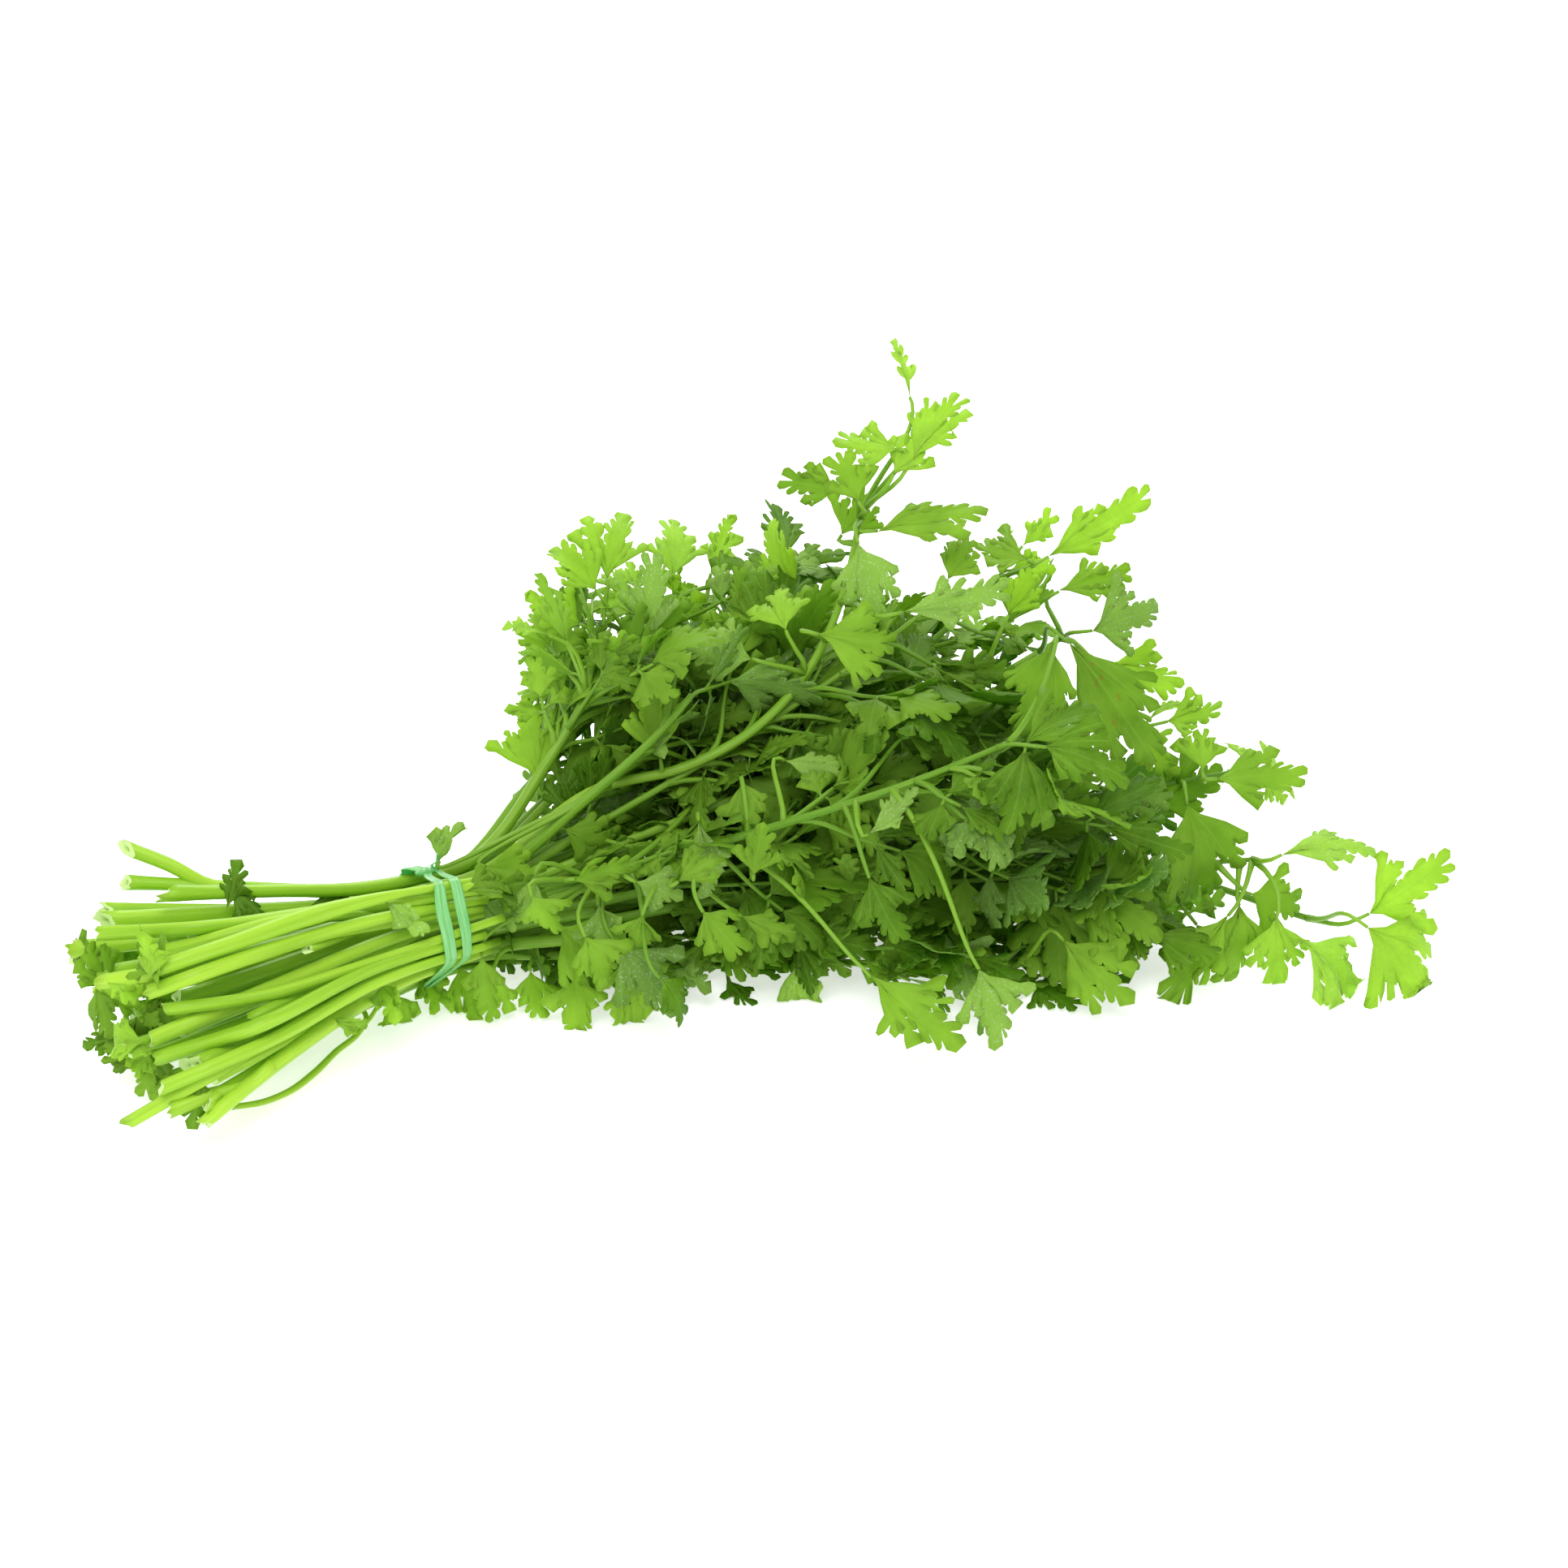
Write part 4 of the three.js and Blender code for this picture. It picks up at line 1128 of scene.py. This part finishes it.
def leaf_source(blade, past_fork):
    """Where a leaf's stalk leaves its sprig past the fork, and the sprig's direction there.

    That is close to the leaf and, as far as can be, behind it in its own direction.
    """
    if "from" in blade:
        return blade["from"], blade["way"]
    to_base = blade["base"] - past_fork
    gap = np.linalg.norm(to_base, axis=1)
    if blade["base"][2] < LOW_LEAF:
        off = np.abs(gap - 26) + 40 * (to_base[:, 0] < 0)
    else:
        back = np.maximum((to_base * blade["along"]).sum(axis=1), 0)
        aside = np.linalg.norm(to_base - back[:, None] * blade["along"], axis=1)
        off = aside + 0.45 * gap + np.maximum(9 - gap, 0)
    k = int(off.argmin())
    return past_fork[k], way_at(past_fork, k)


def make_sprig(number, points, radii, upper, blades):
    """A stalk and its leaves, in place of the CAD's stalk and leaf spray of this number."""
    rng = np.random.default_rng([SEED, number])
    tint = rng.uniform(0, 1)
    stems, leaves = Shape(), Shape()
    route = add_stalk(stems, rng, points, radii, tint)
    past_fork = route[np.linalg.norm(route - upper[0], axis=1).argmin() :]
    for blade in blades:
        add_leaf(leaves, stems, rng, blade, *leaf_source(blade, past_fork))
    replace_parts(stems.made(f"sprig_stalk_{number:02d}", "stalk"), f"stalk_{number:02d}")
    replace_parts(leaves.made(f"sprig_leaves_{number:02d}", "leaf"), f"leaf_spray_{number:02d}")
    return stems


def bare_stalk(number):
    """A stalk that is broken off just past the tie."""
    rng = np.random.default_rng([SEED, 100 + number])
    points, radii = stalk_chain(f"bare_stalk_{number}")
    shape = Shape()
    add_stalk(shape, rng, points, radii, rng.uniform(0, 1))
    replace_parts(shape.made(f"broken_stalk_{number}", "stalk"), f"bare_stalk_{number}")
    return shape, (points, radii)


# ---------------------------------------------------------------- the cut side and the tie


def section(stalks, x):
    """Where each stalk passes a length x from the tie's centre, across and up from it, and its radius."""
    circles = []
    for route, radii in stalks:
        lengths = route[:, 0] - TIE[0]
        after = int(np.argmax(lengths > x))
        if after:
            t = (x - lengths[after - 1]) / (lengths[after] - lengths[after - 1])
            y, z = route[after - 1][1:] * (1 - t) + route[after][1:] * t - TIE[1:]
            circles.append((y, z, radii[after - 1] * (1 - t) + radii[after] * t))
    return np.array(circles)


def wrap_radii(stalks):
    """How far from the tie's centre a tight wrap round the stalks lies, for each length and each turn."""
    turns = np.radians(WRAP_TURNS)
    ways = np.stack([np.cos(turns), np.sin(turns)])
    facing = np.cos(turns[:, None] - turns[None])
    table = []
    for x in WRAP_LENGTHS:
        circles = section(stalks, x)
        reach = (circles[:, :2] @ ways + circles[:, 2:]).max(axis=0)
        table.append(np.where(facing > 0.2, reach[None] / np.maximum(facing, 0.2), np.inf).min(axis=1))
    return np.array(table)


def wrapped(table, x, turn, lift):
    """Places on the wrap, x from the tie's centre along the bunch, at a turn in degrees and a lift off it."""
    x, turn, lift = np.broadcast_arrays(*(np.asarray(v, float) for v in (x, turn, lift)))
    row = np.clip((x - WRAP_LENGTHS[0]) / (WRAP_LENGTHS[1] - WRAP_LENGTHS[0]), 0, len(WRAP_LENGTHS) - 1.001)
    column = np.mod(turn, 360) / (WRAP_TURNS[1] - WRAP_TURNS[0])
    r, c = row.astype(int), column.astype(int) % len(WRAP_TURNS)
    after = (c + 1) % len(WRAP_TURNS)
    down, over = row - r, column - np.floor(column)
    first = table[r, c] * (1 - over) + table[r, after] * over
    second = table[r + 1, c] * (1 - over) + table[r + 1, after] * over
    radius = first * (1 - down) + second * down + lift
    angle = np.radians(turn)
    return TIE + np.stack([x, radius * np.cos(angle), radius * np.sin(angle)], axis=-1)


def tree_of(shapes):
    """A search tree of several shapes' faces, in millimetres."""
    points, faces, count = [], [], 0
    for shape in shapes:
        points += shape.points
        faces += [[count + i for i in face] for face in shape.faces]
        count += shape.count
    return BVHTree.FromPolygons(np.concatenate(points).tolist(), faces)


def nearness(tree, right_of, above, clearance):
    """How near the camera the first surface is at a place in the picture, the floor included."""
    start = seen(right_of, above, 300)
    _, _, _, away = tree.ray_cast(Vector(start), Vector(AHEAD))
    floor_away = (start[2] - clearance) / -AHEAD[2]
    return 300 - (floor_away if away is None else min(away - clearance, floor_away))


def stiffened(needed, step):
    """A stiff stalk's heights over those it needs: straight over dips, and never bending down too steeply."""
    place = np.arange(len(needed))
    rest = needed.copy()
    for first, last in combinations(place, 2):
        between = place[first : last + 1]
        bridge = np.interp(between, (first, last), (needed[first], needed[last]))
        rest[between] = np.maximum(rest[between], bridge)
    further = place[:, None] - place
    return np.where(further >= 0, rest[:, None] - STEEPEST * step * further, rest).max(axis=0)


def laid_over(packed, piled, path, radius):
    """A route seen along a path in the picture, resting like a stiff stalk on what is under it.

    That is all of the pile far from the tie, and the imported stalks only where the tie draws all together.
    """
    flat, _ = smooth_route([(*place, 0) for place in path], STALK_STEP)
    way = unit(np.gradient(flat, axis=0))
    needed = []
    for (x, y, _), (dx, dy, _) in zip(flat, way):
        places = [(x - side * dy * radius, y + side * dx * radius) for side in (-0.7, 0, 0.7)]
        far, near = (max(nearness(tree, *place, radius) for place in places) for tree in (piled, packed))
        drawn = ease(-34, -12, x)
        needed.append(far * (1 - drawn) + near * drawn)
    rest = stiffened(np.array(needed), STALK_STEP)
    return np.array([seen(x, y, near + 0.2) for (x, y, _), near in zip(flat, rest)])


def add_shoot(shape, rng, route, radii, tint, age=0.1):
    """A thin stalk of its own, with a hollow cut end and radii that change evenly along it."""
    wide = np.interp(np.linspace(0, 1, len(route)), np.linspace(0, 1, len(radii)), radii)
    add_tube(shape, route, wide, 12, tint=tint, age=age, ribs=RIB_DEPTH, cut=rng)
    return route, wide


def loose_stalks(shapes, stalks):
    """Stalks of the cut side that lie over the rest, the forks of two ends, and a shoot that curves away."""
    rng = np.random.default_rng([SEED, 400])
    loose, laid = Shape(), []
    packed = tree_of(shapes)
    for one in LOOSE_STALKS:
        piled = tree_of([*shapes, loose]) if laid else packed
        route = laid_over(packed, piled, one["path"], one["radii"][0])
        laid.append(add_shoot(loose, rng, route, one["radii"], rng.uniform(0.3, 1)))
    thick = next(route for one, (route, _) in zip(LOOSE_STALKS, laid) if "forks" in one)
    top = max(stalks, key=lambda stalk: in_picture(stalk[0][0])[1])[0]
    forks = ((top[0], top[0] + way_at(top, 0) * 20, (0, 8, 0)), (thick[0], thick[4], (-7, 3, 1)))
    for end, join, (aside, above, nearer) in forks:
        away = end + aside * RIGHTWARD + above * UPWARD - nearer * AHEAD
        away[2] = max(away[2], LOWEST)
        past = join + unit(join - end) * 7
        route, _ = smooth_route([away, (away + join) / 2 + UP * 0.6, join, past], 2.5)
        add_shoot(loose, rng, route, FORK_RADII, 0.9)
    curve = np.array([seen_low(*place) for place in SIDE_SHOOT])
    add_shoot(loose, rng, smooth_route(curve, 1.2)[0], SIDE_SHOOT_RADII, 1.0, age=0.02)
    loose.made("loose_stalks", "stalk")
    return loose, laid


def seen_low(right_of, above, height):
    """The place at a height over the floor that is seen right of the tie and above it."""
    level = seen(right_of, above, 0)[2]
    return seen(right_of, above, (height - level) / -AHEAD[2])


def leaf_bits(shapes):
    """Small torn leaves that are caught between the stalks of the cut side and by the tie."""
    rng = np.random.default_rng([SEED, 500])
    tree, leaves = tree_of(shapes), Shape()
    bits = list(LEAF_BITS)
    for _ in range(TORN_BITS):
        place = rng.uniform(*TORN_AREA)
        bits.append((*place, rng.uniform(0, 360), rng.uniform(5, 11), rng.uniform(0.2, 1), 0))
    for right_of, above, heading, size, tint, wet in bits:
        place = seen(right_of, above, nearness(tree, right_of, above, 1.2))
        if place[2] <= 3:
            continue
        along = pointing(heading, rng.uniform(0, 0.35))
        normal = facing_camera(rng, along, 0.4, 0.3)
        look = leaflet_look(rng, rng.choice(USUAL_FORMS), False)
        look["curl"], look["cup"] = rng.uniform(-120, 60), rng.uniform(-110, 110)
        add_leaflet(leaves, rng, place - along * size * 0.3, along, normal, size, look, tint, wet)
    leaves.made("caught_leaf_bits", "leaf")


def add_tape(shape, rng, grid):
    """Tape over a grid of points, its rows along the tape, gathered into fine lengthwise pleats."""
    rows, columns = grid.shape[:2]
    outward = outward_of(grid)
    pleats = rng.normal(0, 1, columns)
    pleats = pleats + 0.8 * rng.normal(0, 1, (rows // 6 + 2, columns)).repeat(6, axis=0)[:rows]
    pleats = (pleats + np.roll(pleats, 1, axis=0) + np.roll(pleats, 2, axis=0)) / 3
    share, lengths = np.linspace(0, 1, columns), lengths_along(grid[:, columns // 2])
    skin = np.stack(np.broadcast_arrays(share * 9, lengths[:, None] / 9, rng.uniform(0, 90)), axis=-1)
    middle = grid + TAPE["pleat"] * pleats[..., None] * outward
    flat = [values.reshape(-1, 3) for values in (middle, outward, skin)]
    add_shell(shape, (rows, columns), flat[0], flat[1], TAPE["thickness"] / 2, skin=flat[2])


def wound(table, path):
    """A grid for tape wound round the stalks along one of its paths."""
    path = np.array(path, float)
    turn = np.arange(path[0, 0], path[-1, 0] + 1, TAPE["step"])
    middle, width, lift = (np.interp(turn, path[:, 0], path[:, k]) for k in (1, 2, 3))
    soft = np.array([0.25, 0.5, 0.25])
    for values in (middle, width, lift):
        for _ in range(2):
            values[1:-1] = np.convolve(values, soft, mode="valid")
    share = np.linspace(0.5, -0.5, TAPE["columns"])
    return wrapped(table, middle[:, None] + width[:, None] * share, turn[:, None], lift[:, None])


def knot_route(table):
    """The gathered tape of the knot, along the top of the wrap."""
    lengths, turns = (np.linspace(*KNOT[name], KNOT["rings"]) for name in ("lengths", "turns"))
    return wrapped(table, lengths, turns, 0.75 + 0.2 * np.sin(np.arange(KNOT["rings"])))


def add_tail(shape, rng, foot, rise, sway, width):
    """One end of the tape, which stands up from the knot and narrows towards its tip."""
    middle, tip = foot + UP * rise * 0.5 + (sway, 0, 0), foot + UP * rise + (0.2, -0.6, 0)
    route, _ = smooth_route([foot, middle, tip], 0.5)
    wide = width * (1 - 0.5 * np.linspace(0, 1, len(route)) ** 2)
    across = (wide[:, None] * np.linspace(-0.5, 0.5, 5))[..., None] * np.array([0.9, -0.44, 0.0])
    add_tape(shape, rng, route[:, None] + across)


def tie(stalks):
    """Thin tape wound twice round the stalks, its turns crossing under them and gathered in a knot on top."""
    rng = np.random.default_rng([SEED, 200])
    table = wrap_radii(stalks)
    turns, knot, tail = Shape(), Shape(), Shape()
    for path in TAPE_PATHS:
        add_tape(turns, rng, wound(table, path))
    gathered = knot_route(table)
    rings = KNOT["rings"]
    radii = 0.75 * np.sin(np.linspace(0.25, 2.7, rings)) ** 0.6 + 0.06 * rng.normal(size=rings)
    add_tube(knot, gathered, radii, 14, tint=0.3, ribs=0.16)
    for rise, sway, width in TAILS:
        add_tail(tail, rng, gathered[-2], rise, sway, width)
    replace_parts(turns.made("tape_turns", "tape"), "tie_turns")
    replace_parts(knot.made("tape_knot", "tape"), "tie_knot")
    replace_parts(tail.made("tape_tail", "tape"), "tie_tail")


# ---------------------------------------------------------------- materials


def new_tree(name):
    material = bpy.data.materials.new(name)
    material.use_nodes = True
    material.node_tree.nodes.clear()
    return material, material.node_tree


def fill(tree, socket, value):
    """Sets a socket to a value, or links another socket to it."""
    if isinstance(value, bpy.types.NodeSocket):
        tree.links.new(value, socket)
    else:
        socket.default_value = value


def node(tree, kind, settings=(), **inputs):
    """A shader node with its inputs set to values or linked to sockets. _ is a space in an input's name."""
    made = tree.nodes.new(kind)
    for name, value in dict(settings).items():
        setattr(made, name, value)
    for name, value in inputs.items():
        fill(tree, made.inputs[name.replace("_", " ")], value)
    return made


def mark(tree, name, output="Fac"):
    return node(tree, "ShaderNodeAttribute", {"attribute_name": name}).outputs[output]


def math_of(tree, operation, *values, clamp=False):
    made = node(tree, "ShaderNodeMath", {"operation": operation, "use_clamp": clamp})
    for socket, value in zip(made.inputs, values):
        fill(tree, socket, value)
    return made.outputs[0]


def mixed(tree, share, a, b):
    """Colour a turning to colour b."""
    made = node(tree, "ShaderNodeMix", {"data_type": "RGBA"})
    for k, value in ((0, share), (6, a), (7, b)):
        fill(tree, made.inputs[k], value)
    return made.outputs[2]


def noise(tree, where, scale, detail=2.0, rough=0.5):
    made = node(tree, "ShaderNodeTexNoise", Vector=where, Scale=scale, Detail=detail, Roughness=rough)
    return made.outputs[0]


def ranged(tree, value, low, high, to_low=0.0, to_high=1.0):
    """A value brought from the range low to high to another range."""
    made = node(tree, "ShaderNodeMapRange", {"clamp": True})
    for k, part in enumerate((value, low, high, to_low, to_high)):
        fill(tree, made.inputs[k], part)
    return made.outputs[0]


def show(tree, kind, first, second, **inputs):
    """Ends a material with two surfaces brought together by a node."""
    both = node(tree, kind, **inputs)
    shaders = [socket for socket in both.inputs if socket.name == "Shader"]
    for socket, surface in zip(shaders, (first, second)):
        fill(tree, socket, surface.outputs[0])
    node(tree, "ShaderNodeOutputMaterial", Surface=both.outputs[0])


def finish_skin(tree, face, height, through, skin):
    """Ends a material with a finely bumpy surface that also lets some light through."""
    bump = node(tree, "ShaderNodeBump", Height=height, Strength=skin["bump"], Distance=skin["deep"])
    rough = {"Roughness": skin["rough"], "Specular_IOR_Level": skin["shine"]}
    own = node(tree, "ShaderNodeBsdfPrincipled", Base_Color=face, Normal=bump.outputs[0], **rough)
    glow = node(tree, "ShaderNodeBsdfTranslucent", Color=through)
    show(tree, "ShaderNodeMixShader", own, glow, Fac=skin["through"])


def leaf_material():
    """Green leaf, lighter or darker with painted light and shade and a random tone, with faint paler veins, a
    greyer underside, a painted wet sheen, painted glints of water drops, brown spots where old, and light
    through it.
    """
    material, tree = new_tree("coriander_leaf")
    sheet, lobe = mark(tree, "sheet", "Vector"), mark(tree, "lobe", "Vector")
    under, tint, wet, old = (mark(tree, name) for name in ("under", "tint", "wet", "old"))
    parts = node(tree, "ShaderNodeSeparateXYZ", Vector=lobe).outputs
    off = math_of(tree, "ABSOLUTE", parts["Y"])
    rise = math_of(tree, "MULTIPLY_ADD", off, -1.15, parts["X"])
    side_vein = math_of(tree, "PINGPONG", math_of(tree, "DIVIDE", rise, VEIN_GAP), 0.5)
    side_vein = ranged(tree, side_vein, 0.0, 0.07, 0.6, 0.0)
    vein = math_of(tree, "MAXIMUM", ranged(tree, off, 0.06, 0.28, 1.0, 0.0), side_vein)
    blotch, grain = noise(tree, sheet, 0.12, 3.0), noise(tree, sheet, 0.9)
    # painted light and shade from the tint, with a random blotchy tone
    painted_light_and_tone = math_of(tree, "MULTIPLY_ADD", blotch, 0.5, math_of(tree, "MULTIPLY", tint, 0.9))
    painted_light_and_tone = math_of(tree, "SUBTRACT", painted_light_and_tone, 0.18, clamp=True)
    # painted glints of water drops, in specks on wet leaves
    droplet_glint = math_of(tree, "MULTIPLY", ranged(tree, noise(tree, sheet, 2.1, 1.0), 0.62, 0.7), wet)
    brown = math_of(tree, "MULTIPLY", ranged(tree, noise(tree, sheet, 0.28), 0.66, 0.72), old)
    face = mixed(tree, painted_light_and_tone, LEAF["deep"], LEAF["bright"])
    face = mixed(tree, ranged(tree, grain, 0.35, 0.7, 0.0, 0.25), face, LEAF["grain"])
    # the wet layer is a painted sheen, the droplet layer painted glints of water drops
    layers = [("vein", vein, 0.16), ("under", under, 0.45), ("wet", wet, 0.3), ("droplet_glint", droplet_glint, 0.6)]
    layers += [("brown", brown, 1)]
    for name, where, share in layers:
        face = mixed(tree, math_of(tree, "MULTIPLY", where, share), face, LEAF[name])
    # the light let through carries the same painted light and shade
    through = mixed(tree, painted_light_and_tone, LEAF["deep_through"], LEAF["bright_through"])
    through = mixed(tree, math_of(tree, "MULTIPLY", vein, 0.35), through, LEAF["vein_through"])
    height = math_of(tree, "MULTIPLY_ADD", vein, -0.5, math_of(tree, "MULTIPLY", grain, 0.5))
    finish_skin(tree, face, height, through, SKINS["leaf"])
    return material


def stalk_material():
    """Bright yellow-green skin with fine lengthwise streaks, greener towards the leaves, and pale cut ends
    with painted shade in their hollows.
    """
    material, tree = new_tree("coriander_stalk")
    place = mark(tree, "skin", "Vector")
    tint, age, depth = (mark(tree, name) for name in ("tint", "age", "cut"))
    streaks = noise(tree, place, 4.5, 4.0, 0.6)
    young = mixed(tree, ranged(tree, tint, 0, 1, 0.1, 0.9), STALK["young"], STALK["bright"])
    old = mixed(tree, tint, STALK["old"], STALK["ripe"])
    face = mixed(tree, ranged(tree, age, 0.12, 0.6), young, old)
    face = mixed(tree, ranged(tree, streaks, 0.4, 0.75, 0.0, 0.3), face, STALK["streak"])
    face = mixed(tree, ranged(tree, noise(tree, place, 0.9), 0.45, 0.75, 0.0, 0.6), face, STALK["blotch"])
    # a cut end's pale flesh darkens into its hollow: painted shade
    flesh = mixed(tree, ranged(tree, depth, 0.3, 0.9), STALK["flesh"], STALK["hollow"])
    face = mixed(tree, ranged(tree, depth, 0.02, 0.1), face, flesh)
    finish_skin(tree, face, streaks, mixed(tree, 0.5, face, STALK["through"]), SKINS["stalk"])
    return material


def tape_material():
    """Slightly see-through blue-green plastic with fine lengthwise fibres."""
    material, tree = new_tree("tie_tape")
    fibres = noise(tree, mark(tree, "skin", "Vector"), 1.0, 3.0, 0.65)
    face = mixed(tree, ranged(tree, fibres, 0.3, 0.7), TAPE_COLOURS["dark"], TAPE_COLOURS["light"])
    finish_skin(tree, face, fibres, TAPE_COLOURS["through"], SKINS["tape"])
    return material


MATERIALS = {"leaf": leaf_material(), "stalk": stalk_material(), "tape": tape_material()}


# ---------------------------------------------------------------- floor, light and camera


def floor():
    """A plain pale floor that gives back nearly all the light."""
    bpy.ops.mesh.primitive_plane_add(size=16)
    plane = bpy.context.object
    plane.name = "floor"
    material, tree = new_tree("floor")
    face = node(tree, "ShaderNodeBsdfDiffuse", Color=(0.92, 0.92, 0.92, 1))
    own = node(tree, "ShaderNodeEmission", Color=(1, 1, 1, 1), Strength=0.55)
    show(tree, "ShaderNodeAddShader", face, own)
    plane.data.materials.append(material)


def sky():
    """Even white light from all round."""
    world = bpy.data.worlds.new("white")
    world.use_nodes = True
    inputs = world.node_tree.nodes["Background"].inputs
    inputs["Color"].default_value, inputs["Strength"].default_value = (1, 1, 1, 1), 0.9
    bpy.context.scene.world = world


def soft_light(name, place, power):
    """A round lamp, 0.9 m across, that looks at the bunch."""
    data = bpy.data.lights.new(name, "AREA")
    data.shape, data.size, data.energy = "DISK", 0.9, power
    lamp = bpy.data.objects.new(name, data)
    lamp.location = place
    lamp.rotation_euler = (Vector((0, 0, 0.05)) - Vector(place)).to_track_quat("-Z", "Y").to_euler()
    bpy.context.scene.collection.objects.link(lamp)


def camera():
    """A camera at the photograph's own viewing angle."""
    data = bpy.data.cameras.new("camera")
    data.lens, data.sensor_width, data.clip_end = SIGHT["lens"], 36, 20
    made = bpy.data.objects.new("camera", data)
    basis = Matrix(np.stack([RIGHTWARD, UPWARD, -AHEAD], axis=1).tolist()).to_4x4()
    place = seen(SIGHT["tie_left"], SIGHT["tie_below"], SIGHT["distance"])
    made.matrix_world = Matrix.Translation(Vector(place * MM)) @ basis
    bpy.context.scene.collection.objects.link(made)
    bpy.context.scene.camera = made


# ---------------------------------------------------------------- the whole scene


shapes, stalks = grow_sprigs()
for number in range(1, BARE_STALKS + 1):
    shape, stalk = bare_stalk(number)
    shapes.append(shape)
    stalks.append(stalk)
loose, laid = loose_stalks(shapes, stalks)
leaf_bits([*shapes, loose])
tie([*stalks, *laid])
floor()
sky()
for lamp in LAMPS:
    soft_light(*lamp)
camera()
bpy.context.scene.view_settings.view_transform = "Standard"
